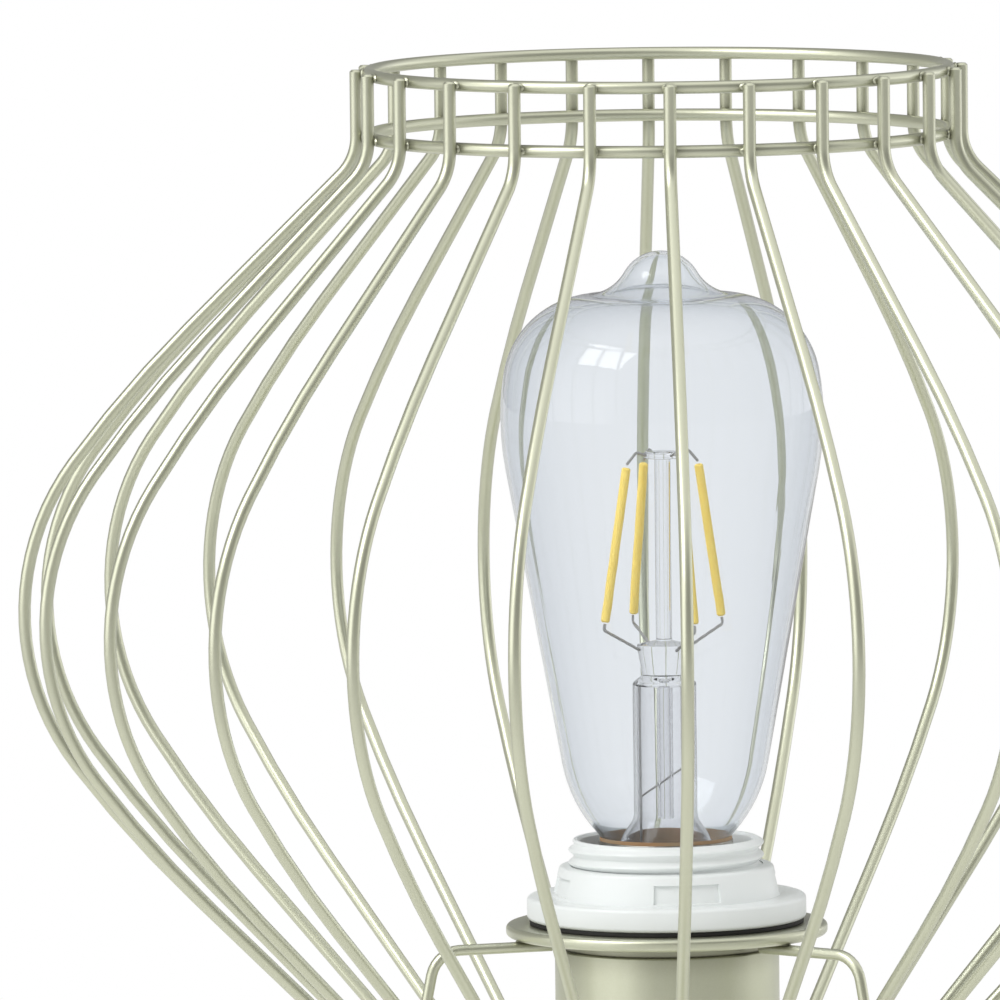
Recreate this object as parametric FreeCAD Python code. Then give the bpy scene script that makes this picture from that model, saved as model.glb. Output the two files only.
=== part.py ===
import FreeCAD, Part
import math
import os

# Table lamp: a wire lantern cage on a lampholder, cup, stem and weighted round base.
# Millimetres, +Z up, origin on the table under the lamp's axis. The front is towards -Y.

V = FreeCAD.Vector
ORIGIN = V(0, 0, 0)
UP = V(0, 0, 1)

# Clearances
slip = 0.3                    # between pieces that turn or slide on each other
seat = 0.1                    # between fixed pieces that fit in each other
weld_gap = 0.05               # between welded round wires

thread_steps = 12             # straight steps in one turn of a thread

# Base
base_radius = 75.0
base_height = 20.0
base_edge_radius = 6.0
cover_wall = 1.2
cover_lift = 0.8              # the cover's lower edge above the table
pad_thickness = 2.0
weight_gap = 0.5              # cover to weight, all round
recess_radius = 52.0
recess_depth = 12.0
recess_bend = 2.0

# Cord gland in the back of the base
gland_height = 8.5
gland_bore_radius = 3.2
gland_barrel_radius = 4.6
gland_barrel_length = 15.0
gland_flange_radius = 5.6
gland_flange_thickness = 2.0

# Terminal block under the base
block_width = 22.0
block_depth = 14.0
block_height = 8.0
block_distance = 32.0
block_hole_radius = 1.8
block_hole_spacing = 8.0

# Through rod, its nuts and the stem
rod_radius = 5.0
rod_bore_radius = 3.5
rod_end = 1.5                 # rod past a nut or floor
nut_across_flats = 17.0
base_nut_thickness = 5.0
cup_nut_thickness = 4.0
washer_radius = 14.0
washer_thickness = 1.5
stem_radius = 8.0
stem_wall = 1.2
stem_length = 127.0

# Cup around the lampholder
cup_radius = 22.25
cup_height = 58.0
cup_wall = 1.2
cup_corner = 4.0
cup_lip = 0.6
neck_radius = 21.4
neck_height = 2.2
notch_width = 9.0
notch_depth = 1.4
notch_count = 2
notch_angle = -72.0           # from the front, positive to the right

# Lampholder
sleeve_thread_radius = 18.85  # middle of the outer thread
sleeve_thread_swing = 0.55    # half the thread's depth
sleeve_pitch = 2.5
sleeve_bore_radius = 17.2
sleeve_thread_start = 1.5     # below the clamping ring's seat
sleeve_rim_chamfer = 0.5
rim_reach = 15.9              # rim above the clamping ring's seat
socket_depth = 25.4           # rim down to the insert
insert_height = 7.0
spigot_height = 4.0
spigot_wall = 1.9
holder_base_height = 27.0
holder_floor = 3.5
holder_corner = 4.0
boss_radius = 8.5
boss_height = 6.0

# Screw shell and contacts for the bulb's cap
cap_thread_radius = 12.6
cap_thread_swing = 0.5
cap_pitch = 3.629
shell_wall = 0.45
shell_recess = 6.0            # below the rim
shell_foot = 0.5
shell_eye_radius = 9.0
contact_rise = 2.0
contact_width = 6.0
contact_thickness = 0.5
contact_foot_end = 7.5
contact_bend = 3.5
contact_tip = 3.0
terminal_offset = 8.0
terminal_shank_radius = 1.5
terminal_shank_length = 5.0
terminal_head_radius = 3.0
terminal_head_height = 2.0
lead_radius = 1.0
lead_offset = 1.7
lead_bend = 2.2
lead_drop = 5.0

# Shade clamping ring and its washer
clamp_thickness = 0.9
clamp_radius = 27.2
ring_height = 10.6
flange_radius = 27.7
flange_thickness = 4.6
flange_edge = 0.8
collar_foot_radius = 22.6
collar_top_radius = 21.2
collar_edge = 0.8
grip_count = 4
grip_span = 35.0              # degrees of one flat
grip_angle = 11.0
grip_depth = 0.7
grip_sill = 0.5               # flat's lower edge above the flange
grip_head = 2.0               # flat's upper edge below the top

# Shade fitter: ring and arms
fitter_radius = 31.9
fitter_thickness = 2.4
fitter_edge = 0.9
arm_radius = 1.1
arm_count = 3
arm_start = 24.0
arm_corner = 48.5
arm_bend = 6.0
arm_tail = 2.0
arm_angle = 50.0              # first arm, from the front, positive to the right
fitter_drop = 30.0            # arms down to the cage's lowest ring

# Cage
wire_count = 24
wire_radius = 1.25
ring_wire_radius = 1.25
first_wire_angle = 2.0
collar_radius = 59.8          # wire centre line in the upright collar
belly_radius = 126.5          # wire centre line at the widest
bend_radius = 10.6
flank_angle = 45.4            # from upright
crown_angle = 37.0            # where the flank's gentle arc meets the crown arc
crown_arc = 50.0
flank_arc = 240.0
collar_rise = 13.7            # bend to the wire's top end
top_ring_drop = 1.25          # top end of the wires to the top ring's centre
collar_ring_rise = 0.0        # bend to the collar ring's centre
tail_length = 4.0
bottom_ring_rise = 1.7        # lower end of the wires to the bottom ring's centre

# Bulb
cap_length = 22.8
cap_wall = 0.4
cap_skirt_radius = 13.3
cap_skirt_length = 4.3
cap_floor = 0.5
cap_eye_radius = 9.6
tip_radius = 4.8
tip_height = 1.8
tip_edge = 1.0
insulator_height = 2.9
insulator_foot_radius = 5.6
insulator_top_radius = 11.0
insulator_spigot = 1.6
glass_wall = 0.8
glass_neck_radius = 12.4
glass_neck_depth = 3.5
glass_radius = 32.0
neck_flare_radius = 5.0
neck_flare_turn = 42.0
heel_radius = 28.0
cone_angle = 10.6
waist_radius = 60.0
upper_belly_radius = 50.0
upper_belly_turn = 10.4
shoulder_radius = 18.4
crest_angle = 86.0
pip_flare_radius = 4.5
pip_angle = 30.0

# Inside the bulb
stem_glass_radius = 6.3
stem_glass_wall = 0.8
stem_flare_radius = 11.2
stem_flare_height = 7.0
stem_tube_height = 34.0
press_radius = 5.3
press_waist_radius = 4.4
press_height = 7.6
exhaust_radius = 1.6
exhaust_wall = 0.5
column_height = 36.9
column_radius = 1.6
button_radius = 3.6
button_height = 1.4
filament_count = 4
filament_radius = 0.9
filament_top_reach = 8.05
filament_foot_reach = 13.0
filament_rise = 30.4
filament_angle = 27.5
filament_drop = 1.5           # filament tops below the button
support_radius = 0.3
support_hump = 1.4
prong_drop = 2.1              # lead wire's knee below a filament
board_height = 10.0
board_thickness = 1.2
board_inset = 0.5
capacitor_radius = 3.0
capacitor_height = 8.0

# Levels, from the table up
recess_top = pad_thickness + recess_depth
weight_top = base_height - cover_wall
rod_bottom = recess_top - washer_thickness - base_nut_thickness - rod_end
cup_bottom = base_height + stem_length
cup_rim = cup_bottom + cup_height
fitter_bottom = cup_rim + neck_height
fitter_top = fitter_bottom + fitter_thickness
ring_seat = fitter_top + clamp_thickness
ring_top = ring_seat + ring_height
holder_rim = ring_seat + rim_reach
insert_top = holder_rim - socket_depth
insert_bottom = insert_top - insert_height
sleeve_bottom = insert_bottom - spigot_height
holder_bottom = sleeve_bottom - holder_base_height
boss_bottom = holder_bottom - boss_height
rod_top = holder_bottom + holder_floor + rod_end
tip_bottom = insert_top + contact_rise + slip
tip_top = tip_bottom + tip_height
insulator_top = tip_top + insulator_height
cap_bottom = insulator_top + seat
cap_top = tip_bottom + cap_length
skirt_bottom = cap_top - cap_skirt_length

# Radii that follow from a fit
cover_bore = base_radius - cover_wall
weight_radius = cover_bore - weight_gap
rod_hole = rod_radius + seat
sleeve_radius = neck_radius - cup_wall - slip
fitter_hole = neck_radius - cup_wall + seat
spigot_radius = sleeve_bore_radius - seat
shell_thread_radius = cap_thread_radius + slip
ring_thread_radius = sleeve_thread_radius + slip
ring_centre_radius = collar_radius - wire_radius - ring_wire_radius - weld_gap

pieces = {}


def rounded_path(corners, closed):
    """Edges through corner points, each with a bend radius that becomes a tangent arc."""
    count = len(corners)
    bends = []
    for index, (point, bend) in enumerate(corners):
        is_end = not closed and index in (0, count - 1)
        if bend == 0 or is_end:
            bends.append((point, None, point))
            continue
        back = (corners[index - 1][0] - point).normalize()
        ahead = (corners[(index + 1) % count][0] - point).normalize()
        half = back.getAngle(ahead) / 2
        reach = bend / math.tan(half)
        inward = (back + ahead).normalize()
        middle = point + inward * (bend / math.sin(half) - bend)
        bends.append((point + back * reach, middle, point + ahead * reach))
    edges = []
    for index, (start, middle, end) in enumerate(bends):
        if middle is not None:
            edges.append(Part.Arc(start, middle, end).toShape())
        if closed or index + 1 < count:
            following = bends[(index + 1) % count][0]
            edges.append(Part.makeLine(end, following))
    return edges


def turned(*corners):
    """Solid of revolution about the axis, from (radius, height) or (radius, height, bend) corners."""
    flat = []
    for corner in corners:
        bend = corner[2] if len(corner) > 2 else 0
        flat.append((V(corner[0], 0, corner[1]), bend))
    face = Part.Face(Part.Wire(rounded_path(flat, True)))
    return face.revolve(ORIGIN, UP, 360)


def disc(radius, bottom, top, hole=0):
    """Plain round plate, with a hole on the axis if one is given."""
    plate = Part.makeCylinder(radius, top - bottom, V(0, 0, bottom))
    if hole:
        plate = plate.cut(Part.makeCylinder(hole, top - bottom, V(0, 0, bottom)))
    return plate


def trace(start, heading, moves):
    """Edges in the XZ plane. A move is (length, 0) straight on, or (radius, turn) round a tangent arc.

    Headings and turns are in degrees, and a positive turn is to the left.
    """
    edges = []
    here = V(start[0], 0, start[1])
    for size, turn in moves:
        course = math.radians(heading)
        if turn == 0:
            there = here + V(math.cos(course), 0, math.sin(course)) * size
            edges.append(Part.makeLine(here, there))
        else:
            side = math.copysign(size, turn)
            centre = here + V(-math.sin(course), 0, math.cos(course)) * side
            points = []
            for share in (0.5, 1.0):
                arm = course + math.radians(turn * share) - math.pi / 2
                points.append(centre + V(math.cos(arm), 0, math.sin(arm)) * side)
            there = points[1]
            edges.append(Part.Arc(here, points[0], there).toShape())
        heading += turn
        here = there
    return edges


def tube(edges, radius):
    """Round bar along a path of tangent edges."""
    first = edges[0]
    start = first.valueAt(first.FirstParameter)
    along = first.tangentAt(first.FirstParameter)
    section = Part.Wire(Part.makeCircle(radius, start, along))
    return Part.Wire(edges).makePipeShell([section], True, False)


def bent_bar(points, bend, radius):
    """Round bar through points, with the same bend at each corner."""
    return tube(rounded_path([(point, bend) for point in points], False), radius)


def facing(shape, angle):
    """Copy of a piece made in the +X half of the XZ plane, swung to an angle from the front."""
    copy = shape.copy()
    copy.rotate(ORIGIN, UP, angle - 90)
    return copy


def screw_core(middle_radius, swing, pitch, bottom, top, datum):
    """Round-threaded bar: a circle off the axis that winds about it, one turn in each pitch."""
    steps = math.ceil((top - bottom) / pitch * thread_steps)
    circles = []
    for step in range(steps + 1):
        height = bottom + (top - bottom) * step / steps
        turn = 2 * math.pi * (height - datum) / pitch
        centre = V(swing * math.cos(turn), swing * math.sin(turn), height)
        circles.append(Part.Wire(Part.makeCircle(middle_radius, centre, UP)))
    return Part.makeLoft(circles, True, True)


def hex_nut(across_flats, bottom, thickness, hole):
    """Hexagon nut on the axis."""
    corner = across_flats / math.sqrt(3)
    points = []
    for step in range(7):
        turn = math.radians(60 * step)
        points.append(V(corner * math.cos(turn), corner * math.sin(turn), bottom))
    block = Part.Face(Part.makePolygon(points)).extrude(V(0, 0, thickness))
    return block.cut(Part.makeCylinder(hole, thickness, V(0, 0, bottom)))


def build_base():
    """Cover, weight, pad, cord gland and terminal block."""
    gland_axis = V(0, 1, 0)
    gland_hole = Part.makeCylinder(
        gland_barrel_radius + seat, base_radius, V(0, 0, gland_height), gland_axis)
    cover = turned(
        (rod_hole, base_height),
        (base_radius, base_height, base_edge_radius),
        (base_radius, cover_lift),
        (cover_bore, cover_lift),
        (cover_bore, weight_top, base_edge_radius - cover_wall),
        (rod_hole, weight_top))
    pieces["base_cover"] = cover.cut(gland_hole)

    weight = turned(
        (rod_hole, weight_top),
        (weight_radius, weight_top, base_edge_radius),
        (weight_radius, pad_thickness),
        (recess_radius, pad_thickness),
        (recess_radius, recess_top, recess_bend),
        (rod_hole, recess_top))
    pieces["base_weight"] = weight.cut(gland_hole)
    pieces["base_pad"] = disc(weight_radius, 0, pad_thickness)

    face = base_radius + weld_gap
    flange = Part.makeCylinder(
        gland_flange_radius, gland_flange_thickness, V(0, face, gland_height), gland_axis)
    barrel = Part.makeCylinder(
        gland_barrel_radius, gland_barrel_length, V(0, face - gland_barrel_length, gland_height),
        gland_axis)
    whole = gland_barrel_length + gland_flange_thickness
    bore = Part.makeCylinder(
        gland_bore_radius, whole, V(0, face - gland_barrel_length, gland_height), gland_axis)
    pieces["cord_gland"] = flange.fuse(barrel).removeSplitter().cut(bore)

    near = block_distance - block_depth / 2
    block = Part.makeBox(
        block_width, block_depth, block_height,
        V(-block_width / 2, near, recess_top - block_height))
    for side in (-1, 1):
        block = block.cut(Part.makeCylinder(
            block_hole_radius, block_depth,
            V(side * block_hole_spacing / 2, near, recess_top - block_height / 2), gland_axis))
    pieces["terminal_block"] = block


def build_stem():
    """Through rod with its washer and nuts, and the stem tube around it."""
    pieces["through_rod"] = disc(rod_radius, rod_bottom, rod_top, rod_bore_radius)
    washer_bottom = recess_top - washer_thickness
    pieces["base_washer"] = disc(washer_radius, washer_bottom, recess_top, rod_hole)
    pieces["base_nut"] = hex_nut(
        nut_across_flats, washer_bottom - base_nut_thickness, base_nut_thickness, rod_hole)
    pieces["stem_tube"] = disc(stem_radius, base_height, cup_bottom, stem_radius - stem_wall)
    pieces["cup_nut"] = hex_nut(
        nut_across_flats, cup_bottom + cup_wall, cup_nut_thickness, rod_hole)


def build_cup():
    """Spun cup with a stepped neck, notched at the top."""
    bore = cup_radius - cup_wall
    neck_bore = neck_radius - cup_wall
    cup = turned(
        (rod_hole, cup_bottom),
        (cup_radius, cup_bottom, cup_corner),
        (cup_radius, cup_rim, cup_lip),
        (neck_radius, cup_rim),
        (neck_radius, fitter_bottom),
        (neck_bore, fitter_bottom),
        (neck_bore, cup_rim - cup_wall),
        (bore, cup_rim - cup_wall),
        (bore, cup_bottom + cup_wall, cup_corner - cup_wall),
        (rod_hole, cup_bottom + cup_wall))
    notch = Part.makeBox(
        cup_radius, notch_width, notch_depth, V(0, -notch_width / 2, fitter_bottom - notch_depth))
    for step in range(notch_count):
        cup = cup.cut(facing(notch, notch_angle + 360 / notch_count * step))
    pieces["cup"] = cup


def build_lampholder():
    """Plastic base and threaded sleeve, ceramic insert, screw shell, contact, terminals and leads."""
    pieces["holder_base"] = turned(
        (rod_hole, boss_bottom),
        (boss_radius, boss_bottom),
        (boss_radius, holder_bottom),
        (sleeve_radius, holder_bottom, holder_corner),
        (sleeve_radius, sleeve_bottom),
        (spigot_radius, sleeve_bottom),
        (spigot_radius, insert_bottom),
        (spigot_radius - spigot_wall, insert_bottom),
        (spigot_radius - spigot_wall, holder_bottom + holder_floor),
        (rod_hole, holder_bottom + holder_floor))

    thread_bottom = ring_seat - sleeve_thread_start
    sleeve = disc(sleeve_radius, sleeve_bottom, thread_bottom).fuse(screw_core(
        sleeve_thread_radius, sleeve_thread_swing, sleeve_pitch, thread_bottom, holder_rim, ring_seat))
    mouth = sleeve_bore_radius + sleeve_rim_chamfer
    pieces["holder_sleeve"] = sleeve.cut(turned(
        (0, sleeve_bottom),
        (sleeve_bore_radius, sleeve_bottom),
        (sleeve_bore_radius, holder_rim - sleeve_rim_chamfer),
        (mouth, holder_rim),
        (0, holder_rim)))

    insert = disc(spigot_radius, insert_bottom, insert_top)
    screws = []
    for side in (-1, 1):
        place = V(side * terminal_offset, 0, insert_bottom)
        insert = insert.cut(Part.makeCylinder(
            terminal_shank_radius + seat, terminal_shank_length + seat, place))
        head = place - V(0, 0, terminal_head_height)
        screws.append(
            Part.makeCylinder(terminal_shank_radius, terminal_shank_length, place).fuse(
                Part.makeCylinder(terminal_head_radius, terminal_head_height, head)).removeSplitter())
    pieces["holder_insert"] = insert
    pieces["terminal_screws"] = Part.makeCompound(screws)

    shell_top = holder_rim - shell_recess
    shell = screw_core(
        shell_thread_radius + shell_wall, cap_thread_swing, cap_pitch, insert_top, shell_top, insert_top)
    hollow = screw_core(
        shell_thread_radius, cap_thread_swing, cap_pitch, insert_top + shell_foot, shell_top, insert_top)
    pieces["screw_shell"] = shell.cut(hollow).cut(
        disc(shell_eye_radius, insert_top, insert_top + shell_foot))

    low = insert_top
    high = insert_top + contact_rise
    knee = contact_foot_end - contact_bend
    outline = [
        (-contact_foot_end, low), (-knee + contact_thickness, low),
        (contact_thickness, high - contact_thickness), (contact_tip, high - contact_thickness),
        (contact_tip, high), (0, high), (-knee, low + contact_thickness),
        (-contact_foot_end, low + contact_thickness), (-contact_foot_end, low)]
    strip = Part.makePolygon([V(x, -contact_width / 2, z) for x, z in outline])
    pieces["centre_contact"] = Part.Face(strip).extrude(V(0, contact_width, 0))

    leads = []
    lead_top = insert_bottom - terminal_head_height - weld_gap
    lead_low = rod_bottom - lead_radius - seat
    hole_near = block_distance - block_depth / 2
    hole_height = recess_top - block_height / 2
    for side in (-1, 1):
        inner = side * lead_offset
        outer = side * block_hole_spacing / 2
        turn_in = lead_top - lead_drop
        points = [
            V(side * terminal_offset, 0, lead_top),
            V(side * terminal_offset, 0, turn_in),
            V(inner, 0, turn_in - terminal_offset),
            V(inner, 0, lead_low),
            V(outer, hole_near - block_depth, lead_low),
            V(outer, hole_near - block_depth / 2, hole_height),
            V(outer, block_distance, hole_height)]
        leads.append(bent_bar(points, lead_bend, lead_radius))
    pieces["inner_leads"] = Part.makeCompound(leads)


def build_clamping_ring():
    """Threaded ring that clamps the shade's fitter, with grip flats, and the washer under it."""
    pieces["clamp_washer"] = disc(clamp_radius, fitter_top, ring_seat, fitter_hole)
    flange_top = ring_seat + flange_thickness
    bore = sleeve_bore_radius
    ring = turned(
        (bore, ring_seat),
        (flange_radius, ring_seat, flange_edge),
        (flange_radius, flange_top, flange_edge),
        (collar_foot_radius, flange_top),
        (collar_top_radius, ring_top, collar_edge),
        (bore, ring_top))
    sill = flange_top + grip_sill
    head = ring_top - grip_head
    outside = turned(
        (collar_foot_radius - grip_depth, sill),
        (flange_radius, sill),
        (flange_radius, head),
        (collar_top_radius - grip_depth, head))
    half = math.radians(grip_span / 2)
    reach = flange_radius / math.cos(half)
    wedge_points = [
        V(0, 0, sill),
        V(reach * math.cos(half), -reach * math.sin(half), sill),
        V(reach * math.cos(half), reach * math.sin(half), sill),
        V(0, 0, sill)]
    wedge = Part.Face(Part.makePolygon(wedge_points)).extrude(V(0, 0, head - sill))
    panel = outside.common(wedge)
    for step in range(grip_count):
        ring = ring.cut(facing(panel, grip_angle + 360 / grip_count * step))
    thread = screw_core(
        ring_thread_radius, sleeve_thread_swing, sleeve_pitch, ring_seat, ring_top, ring_seat)
    pieces["shade_ring"] = ring.cut(thread)


def build_fitter():
    """Flat ring under the clamping washer, and the arms that carry the cage from it."""
    pieces["fitter_ring"] = turned(
        (fitter_hole, fitter_bottom),
        (fitter_radius, fitter_bottom, fitter_edge),
        (fitter_radius, fitter_top, fitter_edge),
        (fitter_hole, fitter_top))
    arm_height = fitter_bottom - arm_radius - weld_gap
    corner = V(arm_corner, 0, arm_height)
    hook = V(ring_centre_radius, 0, arm_height - fitter_drop)
    span = hook - corner
    clear = arm_radius + ring_wire_radius + weld_gap
    course = math.atan2(span.z, span.x) - math.asin(clear / span.Length)
    leg = math.sqrt(span.Length ** 2 - clear ** 2) + arm_tail
    foot = corner + V(math.cos(course), 0, math.sin(course)) * leg
    arm = bent_bar([V(arm_start, 0, arm_height), corner, foot], arm_bend, arm_radius)
    for step in range(arm_count):
        pieces["fitter_arm_%d" % (step + 1)] = facing(arm, arm_angle + 360 / arm_count * step)
    return hook.z


def build_cage(bottom_ring_height):
    """Wires bowed out from the bottom ring to the upright collar, and the rings inside them."""
    flank = math.radians(flank_angle)
    crown = math.radians(crown_angle)
    bend_out = bend_radius * (1 - math.cos(flank))
    arc_out = flank_arc * (math.cos(crown) - math.cos(flank))
    crown_out = crown_arc * (1 - math.cos(crown))
    straight_out = belly_radius - collar_radius - bend_out - arc_out - crown_out
    straight = straight_out / math.sin(flank)
    moves = [
        (tail_length, 0),
        (bend_radius, -flank_angle),
        (straight, 0),
        (flank_arc, flank_angle - crown_angle),
        (crown_arc, 2 * crown_angle),
        (flank_arc, flank_angle - crown_angle),
        (straight, 0),
        (bend_radius, -flank_angle),
        (collar_rise, 0)]
    foot = bottom_ring_height - bottom_ring_rise
    path = trace((collar_radius, foot), 90, moves)
    wire = tube(path, wire_radius)
    for step in range(wire_count):
        pieces["cage_wire_%02d" % (step + 1)] = facing(wire, first_wire_angle + 360 / wire_count * step)
    top = path[-1].valueAt(path[-1].LastParameter).z
    heights = {
        "cage_bottom_ring": bottom_ring_height,
        "cage_collar_ring": top - collar_rise + collar_ring_rise,
        "cage_top_ring": top - top_ring_drop}
    for name, height in heights.items():
        pieces[name] = Part.makeTorus(ring_centre_radius, ring_wire_radius, V(0, 0, height), UP)


def build_bulb_cap():
    """Screw cap, its insulator and tip contact, and the driver board inside."""
    pieces["tip_contact"] = turned(
        (0, tip_bottom), (tip_radius, tip_bottom, tip_edge), (tip_radius, tip_top), (0, tip_top))
    pieces["cap_insulator"] = turned(
        (0, tip_top),
        (insulator_foot_radius, tip_top),
        (insulator_top_radius, insulator_top),
        (cap_eye_radius - slip, insulator_top),
        (cap_eye_radius - slip, insulator_top + insulator_spigot),
        (0, insulator_top + insulator_spigot))
    outside = screw_core(
        cap_thread_radius, cap_thread_swing, cap_pitch, cap_bottom, skirt_bottom + cap_wall / 2, insert_top)
    inside = screw_core(
        cap_thread_radius - cap_wall, cap_thread_swing, cap_pitch, cap_bottom + cap_floor,
        skirt_bottom + 2 * cap_wall, insert_top)
    skirt = disc(cap_skirt_radius, skirt_bottom, cap_top)
    skirt_bore = disc(cap_skirt_radius - cap_wall, skirt_bottom + cap_wall, cap_top)
    eye = disc(cap_eye_radius, cap_bottom, cap_bottom + cap_floor)
    pieces["bulb_cap"] = outside.fuse(skirt).cut(inside.fuse(skirt_bore)).cut(eye)

    board_bottom = insulator_top + insulator_spigot + slip
    half = cap_thread_radius - cap_thread_swing - cap_wall - board_inset
    board = Part.makeBox(
        2 * half, board_thickness, board_height, V(-half, -board_thickness / 2, board_bottom))
    can_place = V(0, -board_thickness / 2 - capacitor_radius - weld_gap, board_bottom)
    can = Part.makeCylinder(capacitor_radius, capacitor_height, can_place)
    pieces["driver_board"] = Part.makeCompound([board, can])


def glass_outline(inset):
    """Edges of the bulb's glass from the neck up to the pip, moved in by a wall thickness."""
    flare = math.radians(neck_flare_turn)
    cone = math.radians(cone_angle)
    neck_out = neck_flare_radius * (1 - math.cos(flare))
    heel_out = heel_radius * (math.cos(cone) - math.cos(flare))
    waist_out = waist_radius * (1 - math.cos(cone))
    cone_out = glass_radius - glass_neck_radius - neck_out - heel_out - waist_out
    crest = math.radians(crest_angle)
    pip = math.radians(pip_angle)
    upper = math.radians(upper_belly_turn)
    pip_base = glass_radius - upper_belly_radius * (1 - math.cos(upper))
    pip_base -= shoulder_radius * (math.cos(upper) - math.cos(crest))
    pip_base -= pip_flare_radius * (math.cos(pip) - math.cos(crest))
    pip_radius = pip_base / math.cos(pip)
    moves = [
        (glass_neck_depth, 0),
        (neck_flare_radius + inset, -neck_flare_turn),
        (heel_radius - inset, neck_flare_turn - cone_angle),
        (cone_out / math.sin(cone), 0),
        (waist_radius - inset, cone_angle),
        (upper_belly_radius - inset, upper_belly_turn),
        (shoulder_radius - inset, crest_angle - upper_belly_turn),
        (pip_flare_radius + inset, pip_angle - crest_angle),
        (pip_radius - inset, 90 - pip_angle)]
    return trace((glass_neck_radius - inset, cap_top - glass_neck_depth), 90, moves)


def build_glass():
    """Clear glass envelope of even wall."""
    outer = glass_outline(0)
    inner = glass_outline(glass_wall)
    ends = []
    for path in (outer, inner):
        ends.append((path[0].valueAt(path[0].FirstParameter), path[-1].valueAt(path[-1].LastParameter)))
    closing = [Part.makeLine(ends[0][0], ends[1][0]), Part.makeLine(ends[0][1], ends[1][1])]
    edges = Part.__sortEdges__(outer + inner + closing)
    pieces["bulb_glass"] = Part.Face(Part.Wire(edges)).revolve(ORIGIN, UP, 360)


def build_filaments():
    """Glass stem with its press and column, the filaments around it and their support wires."""
    foot = cap_top - glass_neck_depth + glass_wall
    tube_foot = foot + stem_flare_height
    press_foot = foot + stem_tube_height
    press_top = press_foot + press_height
    column_top = press_top + column_height
    button_top = column_top + button_height
    bore = stem_glass_radius - stem_glass_wall
    stem = turned(
        (stem_flare_radius, foot),
        (stem_glass_radius, tube_foot, stem_flare_height / 2),
        (stem_glass_radius, press_foot, stem_glass_wall),
        (press_waist_radius, press_foot + press_height / 4, stem_glass_wall),
        (press_radius, press_foot + press_height / 2, stem_glass_wall),
        (press_radius, press_top, stem_glass_wall),
        (column_radius, press_top + column_radius, stem_glass_wall),
        (column_radius, column_top),
        (button_radius, column_top, button_height / 3),
        (button_radius, button_top, button_height / 3),
        (0, button_top),
        (0, press_foot),
        (exhaust_radius - exhaust_wall, press_foot),
        (exhaust_radius - exhaust_wall, tube_foot),
        (exhaust_radius, tube_foot),
        (exhaust_radius, press_foot - exhaust_wall),
        (bore, press_foot - exhaust_wall),
        (bore, tube_foot, stem_flare_height / 2),
        (stem_flare_radius - stem_glass_wall, foot))
    pieces["bulb_stem"] = stem

    top = V(filament_top_reach, 0, column_top - filament_drop)
    low = V(filament_foot_reach, 0, top.z - filament_rise)
    along = (top - low).normalize()
    length = (top - low).Length - 2 * filament_radius
    rod_foot = low + along * filament_radius
    filament = Part.makeCylinder(filament_radius, length, rod_foot, along)
    for end in (rod_foot, rod_foot + along * length):
        filament = filament.fuse(Part.makeSphere(filament_radius, end))
    filament = filament.removeSplitter()
    gap = along * (support_radius + weld_gap)
    hook = bent_bar(
        [V(button_radius + weld_gap, 0, column_top + button_height / 2),
         V((button_radius + filament_top_reach) / 2, 0, column_top + support_hump),
         top + gap + along * support_radius],
        support_hump / 2, support_radius)
    prong = bent_bar(
        [V(press_radius + slip, 0, press_top - press_height / 8),
         low - gap - along * prong_drop,
         low - gap - along * support_radius],
        support_hump / 2, support_radius)
    filaments = []
    supports = []
    for step in range(filament_count):
        angle = filament_angle + 360 / filament_count * step
        filaments.append(facing(filament, angle))
        supports.append(facing(hook, angle))
        supports.append(facing(prong, angle))
    pieces["led_filaments"] = Part.makeCompound(filaments)
    pieces["filament_wires"] = Part.makeCompound(supports)


build_base()
build_stem()
build_cup()
build_lampholder()
build_clamping_ring()
build_cage(build_fitter())
build_bulb_cap()
build_glass()
build_filaments()

os.makedirs("parts", exist_ok=True)
for name, shape in pieces.items():
    shape.exportStep("parts/%s.step" % name)
    print(name, len(shape.Solids), round(shape.Volume, 2), shape.isValid())
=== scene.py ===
"""Dresses the wire cage table lamp: meshes, finishes, studio and camera around its fixed frame."""

import math
from types import SimpleNamespace

import bmesh
import bpy
from mathutils import Matrix, Vector


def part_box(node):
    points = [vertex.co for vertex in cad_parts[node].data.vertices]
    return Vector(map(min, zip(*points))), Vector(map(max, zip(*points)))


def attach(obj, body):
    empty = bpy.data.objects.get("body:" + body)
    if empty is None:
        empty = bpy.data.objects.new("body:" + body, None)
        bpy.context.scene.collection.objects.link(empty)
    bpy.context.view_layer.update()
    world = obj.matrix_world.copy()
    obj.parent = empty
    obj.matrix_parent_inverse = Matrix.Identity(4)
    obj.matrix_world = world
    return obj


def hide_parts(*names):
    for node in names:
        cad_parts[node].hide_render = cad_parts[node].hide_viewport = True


bl_info = {
    "name": "Wire Cage Table Lamp",
    "version": (1, 0, 0),
    "blender": (4, 5, 0),
    "location": "3D View > Sidebar > Lamp",
    "description": "Builds and finishes a table lamp with a bowed wire cage",
    "category": "Object",
}

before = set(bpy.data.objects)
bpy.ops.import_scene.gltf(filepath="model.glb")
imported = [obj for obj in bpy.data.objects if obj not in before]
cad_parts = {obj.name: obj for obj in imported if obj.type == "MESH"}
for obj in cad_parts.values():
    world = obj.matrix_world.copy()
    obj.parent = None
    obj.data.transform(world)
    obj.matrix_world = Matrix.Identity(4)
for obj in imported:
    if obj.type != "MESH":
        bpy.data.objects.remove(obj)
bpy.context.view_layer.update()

MM = 0.001
TAU = 2 * math.pi
UP = Vector((0, 0, 1))
FRONT = -math.pi / 2                  # column angle of a turned mesh that faces the front

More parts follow.
